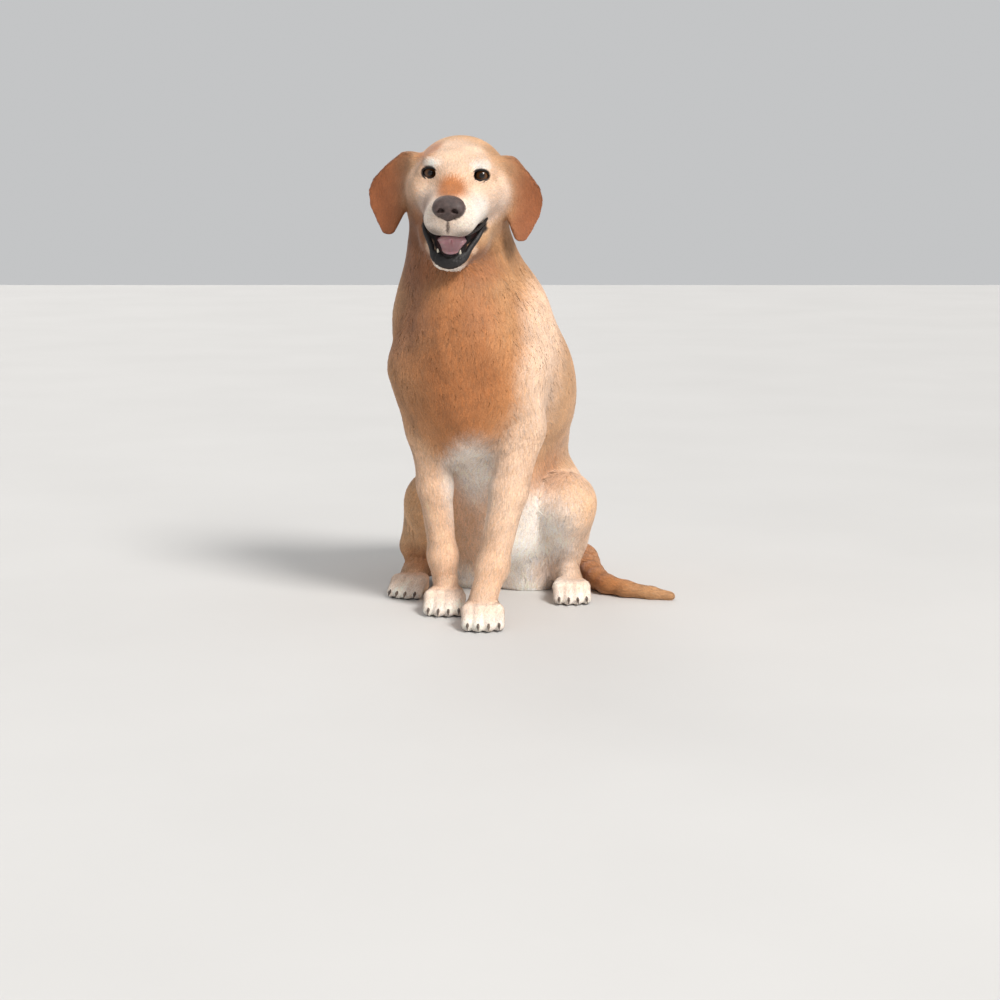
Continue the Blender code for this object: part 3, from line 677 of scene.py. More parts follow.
def waves(points, scale, seed):
    """A smooth wandering number between about -1 and 1 at each point."""
    turns = np.random.default_rng(seed)
    total = np.zeros(len(points))
    for strength in (1.0, 0.8, 0.6, 0.5):
        way = turns.normal(size=3)
        way /= np.linalg.norm(way)
        pitch = 2 * math.pi / scale * turns.uniform(0.6, 1.8)
        total += strength * np.sin(points @ way * pitch + turns.uniform(0, 6.3))
    return total / 2.0


# ---------------------------------------------------------------- markings, and painted light and shade
PATCH_CORE, PATCH_EDGE = 0.55, 1.45  # where a patch's colour is whole and where it ends, in radii
TONE_BLEND = 0.007  # over how far the tones of neighbouring masses melt together
MOTTLE = ((0.10, 0.055, 3), (0.07, 0.018, 4))  # strength, size and seed of the coat's mottling


def head_patches():
    """Soft patches, markings and painted light and shade, in the head's frame: centre, radii,
    colour, strength.
    """
    return [
        ((0.000, -0.004, 0.026), (0.038, 0.038, 0.022), CREAM, 0.7),
        ((-0.041, 0.012, 0.025), (0.017, 0.036, 0.024), (0.46, 0.18, 0.065), 0.95),
        ((0.050, 0.034, 0.022), (0.016, 0.034, 0.024), TAN, 0.60),
        ((-0.030, -0.018, 0.0165), (0.015, 0.016, 0.008), WHITE, 1.0),
        ((0.032, -0.018, 0.0165), (0.016, 0.016, 0.008), WHITE, 1.0),
        ((0.000, -0.034, -0.004), (0.012, 0.020, 0.014), PEACH, 0.8),
        ((-0.002, -0.062, -0.008), (0.021, 0.034, 0.015), (0.50, 0.19, 0.068), 1.0),
        ((-0.020, -0.030, -0.012), (0.007, 0.014, 0.010), TAN, 0.6),
        ((0.020, -0.030, -0.012), (0.007, 0.014, 0.010), TAN, 0.6),
        ((-0.030, -0.052, -0.044), (0.018, 0.036, 0.022), (0.38, 0.22, 0.155), 0.85),
        ((0.030, -0.052, -0.044), (0.018, 0.036, 0.022), WHITE, 0.95),
        ((-0.018, -0.094, -0.056), (0.015, 0.016, 0.010), (0.17, 0.130, 0.11), 0.85),
        ((0.018, -0.094, -0.058), (0.013, 0.014, 0.009), (0.30, 0.25, 0.22), 0.75),
        ((0.000, -0.110, -0.046), (0.0022, 0.016, 0.012), (0.12, 0.08, 0.07), 0.9),
        # Painted light and shade: the dog's right cheek is darker and its left cheek paler, as the
        # key light falls from its left.
        ((-0.052, 0.004, -0.044), (0.022, 0.036, 0.030), (0.46, 0.27, 0.17), 0.75),
        ((0.052, 0.004, -0.036), (0.022, 0.036, 0.030), (0.88, 0.68, 0.56), 0.9),
        ((-0.060, 0.045, -0.060), (0.020, 0.040, 0.030), TAN, 0.6),
        ((0.060, 0.045, -0.060), (0.020, 0.040, 0.030), TAN, 0.6),
    ]


def body_patches():
    """Soft patches, markings and painted light and shade, in the dog's frame: centre, radii,
    colour, strength.
    """
    return [
        # Painted light: the dog's left shoulder, towards the key light, is made paler.
        ((0.088, -0.080, 0.375), (0.045, 0.080, 0.120), CREAM, 0.9),
        # Painted shade on the dog's right, away from the key light, over the coat's own colours:
        # the chest's orange is deepened, and the shoulder and the base of the neck are darker.
        ((-0.022, -0.180, 0.400), (0.060, 0.065, 0.110), (0.41, 0.155, 0.055), 0.85),
        ((-0.090, -0.090, 0.400), (0.040, 0.080, 0.100), (0.34, 0.145, 0.060), 0.85),
        ((-0.070, -0.130, 0.470), (0.030, 0.050, 0.040), RED, 0.45),
        # Painted shade: darker on the right of the neck and under both ears, the jaw and the chin.
        ((-0.078, -0.100, 0.560), (0.035, 0.080, 0.070), (0.24, 0.085, 0.032), 0.9),
        ((0.040, -0.080, 0.560), (0.030, 0.060, 0.040), (0.40, 0.19, 0.08), 0.5),
        ((-0.020, -0.140, 0.540), (0.055, 0.050, 0.030), (0.30, 0.11, 0.042), 0.8),
        ((-0.020, -0.170, 0.490), (0.050, 0.060, 0.040), (0.38, 0.15, 0.055), 0.6),
        (tuple(in_jaw((0, -0.090, -0.070))), (0.026, 0.012, 0.013), WHITE, 1.0),
        (tuple(in_jaw((-0.030, -0.050, -0.066))), (0.008, 0.032, 0.010), CREAM, 0.8),
        (tuple(in_jaw((0.030, -0.050, -0.066))), (0.006, 0.030, 0.008), CREAM, 0.7),
        ((-0.005, -0.090, 0.230), (0.042, 0.070, 0.100), SNOW, 0.95),
        ((0.055, -0.130, 0.200), (0.030, 0.050, 0.110), CREAM, 0.6),
        ((0.130, 0.000, 0.330), (0.040, 0.120, 0.100), TAN, 0.5),
        ((0.090, 0.020, 0.100), (0.070, 0.110, 0.085), SNOW, 0.95),
        ((0.100, -0.020, 0.215), (0.060, 0.100, 0.030), ORANGE, 0.45),
        ((0.130, 0.130, 0.050), (0.050, 0.100, 0.040), ORANGE, 0.55),
        ((-0.080, 0.130, 0.050), (0.050, 0.100, 0.040), RED, 0.55),
        ((0.043, 0.150, 0.380), (0.100, 0.200, 0.150), TAN, 0.4),
    ]


def patched(points, tones, patches):
    """The tones with soft patches laid over them, one after another."""
    for centre, radii, colour, strength in patches:
        away = np.linalg.norm((points - centre) / radii, axis=1)
        share = (strength * smooth_step(away, PATCH_EDGE, PATCH_CORE))[:, None]
        tones += (np.array(colour) - tones) * share
    return tones


def coat_at(points, masses):
    """Depth, colour and lie of the coat at points near the skin, blended from the masses around."""
    nearest = np.full(len(points), FAR)
    gaps = []
    for mass in masses:
        close = np.all((points > mass.low - 0.02) & (points < mass.high + 0.02), axis=1)
        gap = np.full(len(points), FAR)
        gap[close] = mass.distance(points[close]) + mass.depth
        gaps.append(gap)
        nearest = np.minimum(nearest, gap)
    depth, total = np.zeros(len(points)), np.zeros(len(points))
    tone, flow = np.zeros((len(points), 3)), np.zeros((len(points), 3))
    for mass, gap in zip(masses, gaps):
        weight = np.exp(-(gap - nearest) / TONE_BLEND)
        total += weight
        depth += weight * mass.depth
        tone += weight[:, None] * mass.tone
        flow += weight[:, None] * np.array(mass.flow)
    tone /= total[:, None]
    local = (points - np.array(EYES)) @ np.array(HEAD_TURN)
    tone = patched(points, patched(local, tone, head_patches()), body_patches())
    mottle = 1 + sum(strength * waves(points, size, seed) for strength, size, seed in MOTTLE)
    return depth / total, tone * mottle[:, None], flow / total[:, None]


def gap_to(points, masses):
    """The distance from each point to the nearest of the masses."""
    return np.min([mass.distance(points) for mass in masses], axis=0)


def bare(points, seams):
    """1 where the skin shows without hair: lips, eyelids, the bed of the nose."""
    mouth = gap_to(points, mouth_masses())
    lids = gap_to(points, [eye_opening(side) for side in SIDES.values()])
    nose = nose_bed().distance(points)
    return np.max([
        smooth_step(mouth, seams + 0.0030, seams),
        smooth_step(lids, 0.0034, 0.0014),
        smooth_step(nose, 0.0022, 0.0008),
    ], axis=0)


def set_colours(obj, colours, name="coat"):
    layer = obj.data.color_attributes.new(name, "FLOAT_COLOR", "POINT")
    rgba = np.concatenate([np.clip(colours, 0.003, 0.95), np.ones((len(colours), 1))], axis=1)
    layer.data.foreach_set("color", rgba.astype(np.float32).ravel())


# ---------------------------------------------------------------- skin
def kept_detail(points):
    """How much of the fine mesh to keep: most on the head, then on the feet."""
    near_face = np.linalg.norm(points - np.array(EYES + Vector((0, 0.01, -0.02))), axis=1) < 0.125
    feet = (points[:, 2] < 0.060) & (points[:, 1] < 0.07)
    return np.where(near_face, 0.55, np.where(feet, 0.35, 0.0))


def add_skin(field, masses):
    """The skin, with the coat's markings and painted light and shade, black lips and eyelids, and a
    dark red mouth.
    """
    skin = thinned(mesh_object("skin", *field.mesh()), SKIN_TRIANGLES, kept_detail)
    skin = flattened(skin)
    smoothed(skin.data)
    points = coordinates(skin.data)
    _, tone, _ = coat_at(points, masses)
    lips = bare(points, 0.0030)[:, None]
    inside = gap_to(points, mouth_masses()) < 0.0008
    # The coat's colours are raised by a tenth on the skin as painted light, so that the shaded gaps
    # between the tufts look less dark.
    tone = tone * 1.1 * (1 - lips) + np.array(BLACK) * lips
    tone[inside] = (0.060, 0.018, 0.018)
    set_colours(skin, tone)
    return skin


def unwrapped(obj):
    """The object with a map of its surface laid out flat."""
    obj.data.uv_layers.new(name="OFBake")
    bpy.context.view_layer.objects.active = obj
    obj.select_set(True)
    bpy.ops.object.mode_set(mode="EDIT")
    bpy.ops.mesh.select_all(action="SELECT")
    bpy.ops.uv.smart_project(angle_limit=math.radians(66), island_margin=0.001)
    bpy.ops.object.mode_set(mode="OBJECT")
    obj.select_set(False)
    return obj


# ---------------------------------------------------------------- coat
def region_of(points):
    """The number of the piece of coat, as in COAT, that each point belongs to."""
    local = (points - np.array(EYES)) @ np.array(HEAD_TURN)
    _, y, z = points.T
    head = np.linalg.norm(local - HEAD_MIDDLE, axis=1) < HEAD_REACH
    head &= local[:, 2] > HEAD_BOTTOM
    face = head & (local[:, 1] < FACE_BACK)
    legs = np.full(len(points), False)
    for name in SIDES:
        hind = hindleg_masses(name)[2:]
        for _, *paw in paws(name):
            hind += paw_masses(*paw)
        legs |= gap_to(points, foreleg_masses(name)[1:]) < 0.005
        legs |= gap_to(points, hind) < 0.003
    region = np.full(len(points), 2)
    region[z < NECK_BOTTOM] = 3
    region[(y > 0.10) | ((z < BACK_TOP) & (y > 0.03))] = 4
    region[legs & (z < LEG_TOP)] = 5
    region[gap_to(points, tail_masses()) < 0.004] = 6
    region[head] = 1
    region[face] = 0
    return region


COAT = (
    # name, about how many tufts, their length and width, and how far their lie wanders
    ("coat_face", 19000, 0.0070, 0.0014, 0.16),
    ("coat_head", 15000, 0.0110, 0.0019, 0.18),
    ("coat_neck", 19800, 0.0230, 0.0036, 0.36),
    ("coat_chest", 16500, 0.0210, 0.0036, 0.25),
    ("coat_back", 19800, 0.0250, 0.0042, 0.20),
    ("coat_legs", 16500, 0.0105, 0.0020, 0.16),
    ("coat_tail", 5500, 0.0160, 0.0026, 0.16),
)
HEAD_MIDDLE, HEAD_REACH = (0, 0.03, -0.03), 0.165  # of the head's coat, in the head's frame
HEAD_BOTTOM, FACE_BACK = -0.115, 0.035
NECK_BOTTOM, BACK_TOP, LEG_TOP = 0.33, 0.42, 0.30  # heights where the other pieces of coat meet
ROOT_DEPTH = 0.0008  # of the tufts' roots under the skin
MIDDLE_HEIGHT = 0.55  # of a tuft's middle, as a share of its tip's
TRIES = 6  # roots tried for each that is kept, so that the kept ones can be spread evenly
BAKE_PATCH = 0.003  # width of a tuft's patch on the unwrapped skin
TUFT_RING = ((-0.5, 0.0), (0.5, 0.0), (0.0, 0.20))  # a tuft's cross-section: across, up
TUFT_FACES = (  # of a ring at the root, a ring at the middle and a tip
    (0, 1, 2), (0, 4, 1), (0, 3, 4), (1, 5, 2), (1, 4, 5),
    (2, 3, 0), (2, 5, 3), (3, 6, 4), (4, 6, 5), (5, 6, 3),
)
TUFT_SHADES = (0.94, 0.94, 0.94, 1.0, 1.0, 1.0, 1.04)
TUFT_PATCH = ((-1, -1), (0, -1), (1, -1), (-1, 0.2), (0, 0.2), (1, 0.2), (0, 1))
ROUNDING = 0.30  # how much each tuft is shaded as a round thing of its own


def spread_evenly(points, wanted):
    """Which points to keep, for about as many as wanted: one in each cell of a grid."""
    small, large = 0.0004, 0.02
    for _ in range(14):
        cell = (small + large) / 2
        place = np.floor((points - points.min(axis=0)) / cell).astype(np.int64)
        _, kept = np.unique(place @ (1, 1 << 20, 1 << 40), return_index=True)
        small, large = (cell, large) if len(kept) > wanted else (small, cell)
    return np.sort(kept)


def add_coat(skin, field, masses):
    """The pieces of COAT, rooted all over the skin where it isn't bare."""
    mesh = skin.data
    mesh.calc_loop_triangles()
    corners = values_of(mesh.loop_triangles, "vertices", 3, np.int32)
    loops = values_of(mesh.loop_triangles, "loops", 3, np.int32)
    uv = values_of(mesh.uv_layers["OFBake"].data, "uv", 2)
    points = coordinates(mesh)
    a, b, c = (points[corners[:, k]] for k in range(3))
    area = np.linalg.norm(np.cross(b - a, c - a), axis=1) / 2
    middle = (a + b + c) / 3
    hairy = (bare(middle, 0.0034) < 0.30) & (middle[:, 2] > 0.0025)
    region = region_of(middle)
    pieces = []
    for number, (name, tufts, length, width, wander) in enumerate(COAT):
        turns = np.random.default_rng(100 + number)
        weight = np.where(hairy & (region == number), area, 0).cumsum()
        tries = TRIES * tufts
        pick = turns.uniform(0, weight[-1], tries)
        chosen = np.minimum(np.searchsorted(weight, pick), len(weight) - 1)
        share = turns.uniform(size=(tries, 2))
        over = share.sum(axis=1) > 1
        share[over] = 1 - share[over]
        share = np.column_stack([1 - share.sum(axis=1), share])
        roots = np.einsum("nk,nkd->nd", share, points[corners[chosen]])
        places = np.einsum("nk,nkd->nd", share, uv[loops[chosen]])
        even = spread_evenly(roots, tufts)
        roots, places = roots[even], places[even]
        pieces.append(tuft_piece(name, roots, places, field, masses, length, width, wander, turns))
    return pieces


def shading_normals(up, across):
    """Normals that round each tuft a little but follow the body, for one even coat."""
    sides = np.array((-1, 1, 0, -1, 1, 0, 0)) * ROUNDING
    normals = up[:, None, :] + across[:, None, :] * sides[None, :, None]
    normals /= np.linalg.norm(normals, axis=2, keepdims=True)
    return normals.reshape(-1, 3).astype(np.float32)


def tuft_piece(name, roots, places, field, masses, length, width, wander, turns):
    """One joined mesh of closed tufts that rise from roots on the skin and lie along the flow."""
    count = len(roots)
    depth, tone, flow = coat_at(roots, masses)
    up = field.outward(roots)
    flow -= up * np.sum(flow * up, axis=1)[:, None]
    flow /= np.linalg.norm(flow, axis=1)[:, None] + 1e-6
    angle = wander * waves(roots, 0.045, 11) + 0.5 * wander * waves(roots, 0.014, 12)
    angle += turns.normal(scale=0.10, size=count)
    across = np.cross(flow, up)
    flow = flow * np.cos(angle)[:, None] + across * np.sin(angle)[:, None]
    across = np.cross(flow, up)
    size = turns.uniform(0.75, 1.25, count)
    size *= np.clip(depth / np.median(depth), 0.55, 1.2) ** 0.6
    reach = (length * size)[:, None]
    breadth = (width * turns.uniform(0.8, 1.2, count) * size)[:, None]
    height = depth * turns.uniform(0.75, 1.0, count)
    bend = turns.normal(scale=0.10, size=count)[:, None]
    root = field.raised(roots, np.full(count, -ROOT_DEPTH))
    middle = field.raised(roots + (flow + across * bend) * reach * 0.5, height * MIDDLE_HEIGHT)
    tip = field.raised(roots + (flow - across * bend) * reach, height)
    for line in (middle, tip):
        line[:, 2] = np.maximum(line[:, 2], FLOOR_GAP)
    rings = []
    for centre, wide in ((root, 0.75), (middle, 1.0)):
        for side, rise in TUFT_RING:
            rings.append(centre + breadth * wide * (across * side + up * rise))
    vertices = np.stack(rings + [tip], axis=1)
    vertices[:, :, 2] = np.maximum(vertices[:, :, 2], FLOOR_GAP)
    faces = np.array(TUFT_FACES)[None] + vertices.shape[1] * np.arange(count)[:, None, None]
    coat = mesh_object(name, vertices.reshape(-1, 3), faces.reshape(-1, 3))
    shade = turns.normal(scale=0.07, size=(count, 1)) + 1
    warm = turns.normal(scale=0.03, size=(count, 1)) * (1, 0, -1.5) + 1
    colour = (tone * shade * warm)[:, None, :] * np.array(TUFT_SHADES)[None, :, None]
    set_colours(coat, colour.reshape(-1, 3))
    coat.data.normals_split_custom_set_from_vertices(shading_normals(up, across))
    layer = coat.data.uv_layers.new(name="OFBake")
    spread = BAKE_PATCH / 2 * np.array(TUFT_PATCH)
    patch = np.clip(places[:, None, :] + spread[None], 0.0005, 0.9995).reshape(-1, 2)
    index = values_of(coat.data.loops, "vertex_index", 1, np.int32).ravel()
    layer.data.foreach_set("uv", patch[index].astype(np.float32).ravel())
    return coat


# ---------------------------------------------------------------- materials
def material(name, roughness, specular=0.5, coat=0.0, sheen=0.0):
    made = bpy.data.materials.new(name)
    made.use_nodes = True
    shader = made.node_tree.nodes["Principled BSDF"]
    shader.inputs["Roughness"].default_value = roughness
    shader.inputs["Specular IOR Level"].default_value = specular
    shader.inputs["Coat Weight"].default_value = coat
    shader.inputs["Coat Roughness"].default_value = 0.12
    shader.inputs["Sheen Weight"].default_value = sheen
    return made, made.node_tree, shader


def add_node(tree, kind, links=(), numbers=(), **settings):
    """A new node with its settings, the links into it, and the numbers on its other sockets."""
    made = tree.nodes.new("ShaderNode" + kind)
    for name, value in settings.items():
        setattr(made, name, value)
    for socket, source in dict(links).items():
        tree.links.new(source, made.inputs[socket])
    for socket, value in dict(numbers).items():
        made.inputs[socket].default_value = value
    return made


def noise(tree, scale, detail=3.0, stretch=None):
    """A noise node in the object's own coordinates, which may be stretched along its axes."""
    place = add_node(tree, "TexCoord").outputs["Object"]
    if stretch:
        place = add_node(tree, "Mapping", {"Vector": place}, {"Scale": stretch}).outputs["Vector"]
    made = add_node(tree, "TexNoise", {"Vector": place}, {"Scale": scale, "Detail": detail})
    return made.outputs["Fac"]


def ramp(tree, value, stops):
    """The colour at value between stops, each a position and a colour."""
    made = add_node(tree, "ValToRGB", {"Fac": value})
    elements = made.color_ramp.elements
    while len(elements) < len(stops):
        elements.new(0.5)
    for element, (position, colour) in zip(elements, stops):
        element.position = position
        element.color = (*colour, 1)
    return made.outputs["Color"]


def painted(tree, shader, colour):
    tree.links.new(colour, shader.inputs["Base Color"])


def bumped(tree, shader, value, strength, distance):
    bump = add_node(tree, "Bump", {"Height": value}, {"Strength": strength, "Distance": distance})
    tree.links.new(bump.outputs["Normal"], shader.inputs["Normal"])


def coat_material(name, roughness, grain):
    """The coat's markings and painted light and shade, mottled by a fine grain, over a bump like
    short hair.
    """
    made, tree, shader = material(name, roughness, 0.25, sheen=0.15)
    marks = add_node(tree, "Attribute", attribute_name="coat").outputs["Color"]
    dark, light = (0.80, 0.77, 0.73), (1.0, 1.0, 1.0)
    shade = ramp(tree, noise(tree, grain, 4.0), ((0.30, dark), (0.70, light)))
    both = {"A": marks, "B": shade}
    mix = add_node(tree, "Mix", both, {"Factor": 1.0}, data_type="RGBA", blend_type="MULTIPLY")
    painted(tree, shader, mix.outputs["Result"])
    bumped(tree, shader, noise(tree, grain * 2.5, 3.0), 0.35, 0.0006)
    return made


def leather_material(name, dark, light, roughness, scale, bump, coat=0.2):
    """Moist pebbled skin: nose, lips and pads."""
    made, tree, shader = material(name, roughness, 0.5, coat)
    place = add_node(tree, "TexCoord").outputs["Object"]
    cells = add_node(tree, "TexVoronoi", {"Vector": place}, {"Scale": scale})
    painted(tree, shader, ramp(tree, noise(tree, scale / 6), ((0.3, dark), (0.75, light))))
    bumped(tree, shader, cells.outputs["Distance"], bump, 0.0008)
    return made


def eye_material():
    """Black pupil, dark amber iris and dark rim, in rings about the line of sight, all glossy."""
    made, tree, shader = material("eye", 0.04, 0.45)
    place = add_node(tree, "TexCoord").outputs["Object"]
    split = add_node(tree, "SeparateXYZ", {"Vector": place}).outputs
    flat = add_node(tree, "CombineXYZ", {"X": split["X"], "Y": split["Z"]}).outputs["Vector"]
    length = add_node(tree, "VectorMath", {0: flat}, operation="LENGTH").outputs["Value"]
    scaled = add_node(tree, "Math", {0: length}, {1: 1 / EYE_RADIUS}, operation="MULTIPLY")
    stops = (
        (0.28, (0.004, 0.003, 0.003)),
        (0.34, (0.060, 0.024, 0.009)),
        (0.56, (0.120, 0.052, 0.018)),
        (0.66, (0.040, 0.016, 0.007)),
        (0.74, (0.008, 0.005, 0.004)),
        (0.90, (0.020, 0.012, 0.010)),
    )
    painted(tree, shader, ramp(tree, scaled.outputs["Value"], stops))
    return made


def tongue_material():
    made, tree, shader = material("tongue", 0.35, 0.5, 0.35)
    shader.inputs["Subsurface Weight"].default_value = 0.15
    shader.inputs["Subsurface Scale"].default_value = 0.004
    # The tongue's pink is raised close to white as painted light, making up for the shade of the
    # mouth it lies in.
    dark, light = (0.97, 0.50, 0.53), (1.0, 0.60, 0.62)
    painted(tree, shader, ramp(tree, noise(tree, 160, 4.0), ((0.3, dark), (0.7, light))))
    bumped(tree, shader, noise(tree, 900, 2.0), 0.5, 0.0004)
    return made


def streaked_material(name, dark, light, roughness, stretch):
    """Horn or tooth, with fine streaks along it."""
    made, tree, shader = material(name, roughness, 0.5, 0.2)
    painted(tree, shader, ramp(tree, noise(tree, 60, 3.0, stretch), ((0.3, dark), (0.7, light))))
    return made


def floor_material():
    made, tree, shader = material("floor", 0.65, 0.3)
    dark, light = (0.575, 0.57, 0.56), (0.60, 0.595, 0.585)
    painted(tree, shader, ramp(tree, noise(tree, 2.0, 5.0), ((0.3, dark), (0.7, light))))
    return made


def dressed(obj, made):
    obj.data.materials.clear()
    obj.data.materials.append(made)
    return obj


# ---------------------------------------------------------------- face
def add_eye(name, side):
    """An eyeball with a bulging cornea. Its own -Y axis is the line of sight."""
    mesh = bmesh.new()
    bmesh.ops.create_uvsphere(mesh, u_segments=48, v_segments=32, radius=EYE_RADIUS)
    for vertex in mesh.verts:
        vertex.co = Matrix.Rotation(math.radians(90), 3, "X") @ vertex.co
        off_axis = math.hypot(vertex.co.x, vertex.co.z) / EYE_RADIUS
        if vertex.co.y < 0 and off_axis < CORNEA_SHARE:
            vertex.co.y -= CORNEA_BULGE * (1 - (off_axis / CORNEA_SHARE) ** 2)
    made = object_of(f"eyeball_{name}", mesh)
    smoothed(made.data)
    made.location = eye_centre(side)
    made.rotation_euler = (0, 0, math.radians(1.5))
    return made


def eyelid_line(side):
    """Points round the almond of the eye's opening, on the eyeball."""
    centre = eye_centre(side)
    points, steps = [], 48
    for step in range(steps):
        turn = 2 * math.pi * step / steps
        x = 0.0120 * math.cos(turn)
        arch = 0.0076 if math.sin(turn) > 0 else 0.0066
        z = arch * math.copysign(abs(math.sin(turn)) ** 0.9, math.sin(turn))
        y = -math.sqrt(max((EYE_RADIUS + 0.0004) ** 2 - x * x - z * z, 1e-9))
        points.append(centre + EYE_TURN @ Vector((x, y, z)))
    return points


def ring_tube(name, points, radius, sides=10):
    """A closed tube through points that come back to their start."""
    count = len(points)
    vertices, faces = [], []
    middle = sum(points, Vector()) / count
    for step, point in enumerate(points):
        along = (points[(step + 1) % count] - points[step - 1]).normalized()
        outward = (point - middle).normalized()
        outward = (outward - along * outward.dot(along)).normalized()
        upward = along.cross(outward)
        for k in range(sides):
            turn = 2 * math.pi * k / sides
            vertices.append(point + (outward * math.cos(turn) + upward * math.sin(turn)) * radius)
    for step in range(count):
        here, after = step * sides, (step + 1) % count * sides
        for k in range(sides):
            beside = (k + 1) % sides
            faces.append((here + k, here + beside, after + beside, after + k))
    made = mesh_object(name, [tuple(v) for v in vertices], faces)
    mesh = bmesh.new()
    mesh.from_mesh(made.data)
    bmesh.ops.recalc_face_normals(mesh, faces=mesh.faces)
    mesh.to_mesh(made.data)
    mesh.free()
    return made


def add_nose():
    """The leather of the nose: a rounded pad with comma nostrils, wings and a groove below."""
    pad = [
        head_mass((0, -0.1010, -0.0185), (0.0222, 0.0165, 0.0135), 0.004),
        head_mass((0, -0.1065, -0.0285), (0.0120, 0.0105, 0.0125), 0.006),
    ]
    holes = []
    for side in SIDES.values():
        pad.append(head_mass((side * 0.0130, -0.1080, -0.0225), (0.0098, 0.0098, 0.0098), 0.005))
        holes.append(head_mass((side * 0.0092, -0.1180, -0.0225), (0.0044, 0.0075, 0.0034), 0.002))
        start, end = (side * 0.0120, -0.1160, -0.0235), (side * 0.0195, -0.1090, -0.0275)
        holes.append(head_bone(start, end, 0.0022, 0.0009, 0.0015))
    holes.append(head_bone((0, -0.1225, -0.0150), (0, -0.1190, -0.0420), 0.0009, 0.0013, 0.002))
    return melted("nose_leather", pad, holes, 0.0008)


def smooth_path(points, steps):
    """More points along a smooth curve through the given ones."""
    made = [curve_point(points, i, k / steps) for i in range(len(points) - 1) for k in range(steps)]
    return made + [points[-1]]


def add_lips(field):
    """The black lips: a ruffled rim round the lower jaw, and a thin edge under the upper lips."""
    half = (
        (0.0455, -0.006, -0.0535),
        (0.0430, -0.022, -0.0500),
        (0.0375, -0.040, -0.0505),
        (0.0300, -0.059, -0.0530),
        (0.0200, -0.0765, -0.0590),
        (0.0000, -0.0880, -0.0625),
    )
    lower = [in_jaw((-x, y, z)) for x, y, z in half] + [in_jaw(point) for point in half[-2::-1]]
    lower = smooth_path(lower, 6)
    drop = np.array(in_jaw((0, -0.0060, -0.0045)) - in_jaw((0, 0, 0)))
    fall = 1 - np.abs(np.linspace(-1, 1, len(lower)))
    sunk = np.full(len(lower), -0.0006)
    rows = []
    for part in (-0.25, 0.0, 0.25, 0.5, 0.7):
        row = field.raised(np.array(lower) + part * fall[:, None] * drop, sunk)
        rows.append([Vector(point) for point in row])
    masses = []
    for step, (a, b) in enumerate(zip(lower, lower[1:])):
        share = abs(2 * step / (len(lower) - 2) - 1)
        radius = 0.0026 - 0.0010 * share
        inner = 0.0046 - 0.0022 * share
        masses.append(bone(a, b, inner, inner, 0.002))
        if share < 0.80:
            masses += [bone(row[step], row[step + 1], radius, radius, 0.002) for row in rows]
        if step % 2 == 0 and 0.35 < share < 0.85:
            outward = (a - in_jaw((0, -0.030, -0.056))).normalized()
            ruffle = a + 0.0035 * (outward + Vector((0, 0, 1)))
            masses.append(bone(a, ruffle, 0.0016, 0.0008, 0.0015))
    for side in SIDES.values():
        edge = [
            in_head((side * 0.0460, -0.010, -0.0625)),
            in_head((side * 0.0425, -0.028, -0.0660)),
            in_head((side * 0.0350, -0.055, -0.0675)),
            in_head((side * 0.0225, -0.084, -0.0660)),
            in_head((side * 0.0080, -0.098, -0.0590)),
            in_head((0, -0.099, -0.0560)),
        ]
        edge = smooth_path(edge, 4)
        masses += [bone(a, b, 0.0019, 0.0019, 0.002) for a, b in zip(edge, edge[1:])]
    return melted("lips", masses, [], 0.0010)


def add_tongue():
    """A flat tongue that lies in the lower jaw, with a groove along its middle."""
    across = head_way(1, 0, 0)
    places = ((0, 0.004, -0.0560), (0, -0.048, -0.0565), (0, -0.072, -0.0615), (0, -0.081, -0.0655))
    thick = (0.0062, 0.0060, 0.0052, 0.0040)
    blades = [
        bone(in_jaw(a), in_jaw(b), ra, rb, 0.006, 2.9, across)
        for a, b, ra, rb in zip(places, places[1:], thick, thick[1:])
    ]
    groove = [jaw_bone((0, 0.000, -0.0485), (0, -0.070, -0.0545), 0.0010, 0.0008, 0.004)]
    return melted("tongue_flesh", blades, groove, 0.0010)


def add_teeth():
    """The lower canines, with a row of small incisors between them."""
    teeth = []
    for side in SIDES.values():
        root = (side * 0.0140, -0.0765, -0.0640)
        middle = (side * 0.0158, -0.0795, -0.0540)
        crown = (side * 0.0165, -0.0785, -0.0460)
        teeth.append(jaw_bone(root, middle, 0.0034, 0.0026, 0.001))
        teeth.append(jaw_bone(middle, crown, 0.0026, 0.0010, 0.001))
    for number in range(-2, 3):
        foot = (number * 0.0042, -0.0840, -0.0600)
        edge = (number * 0.0044, -0.0850, -0.0560)
        teeth.append(jaw_bone(foot, edge, 0.0022, 0.0014, 0.0004))
    return melted("teeth", teeth, [], 0.0006)


# ---------------------------------------------------------------- feet
def claw_points(knuckle, tip, size):
    """Where a claw leaves its toe, where it bends, and where it ends above the floor."""
    forward = Vector((tip[0] - knuckle[0], tip[1] - knuckle[1], 0)).normalized()
    steps = ((0.0045, 0.0030), (0.0115, 0.0010), (0.0155, -0.0045))  # ahead of the tip, and up
    return [Vector(tip) + (forward * ahead + Vector((0, 0, up))) * size for ahead, up in steps]


def claw_masses(knuckle, tip, size):
    a, b, c = claw_points(knuckle, tip, size)
    inner = a - (b - a) * 0.5
    return [
        bone(inner, a, CLAW_RADIUS, CLAW_RADIUS, 0.001, 0.8),
        bone(a, b, CLAW_RADIUS, CLAW_RADIUS * 0.75, 0.001, 0.8),
        bone(b, c, CLAW_RADIUS * 0.75, CLAW_RADIUS * 0.25, 0.001, 0.8),
    ]


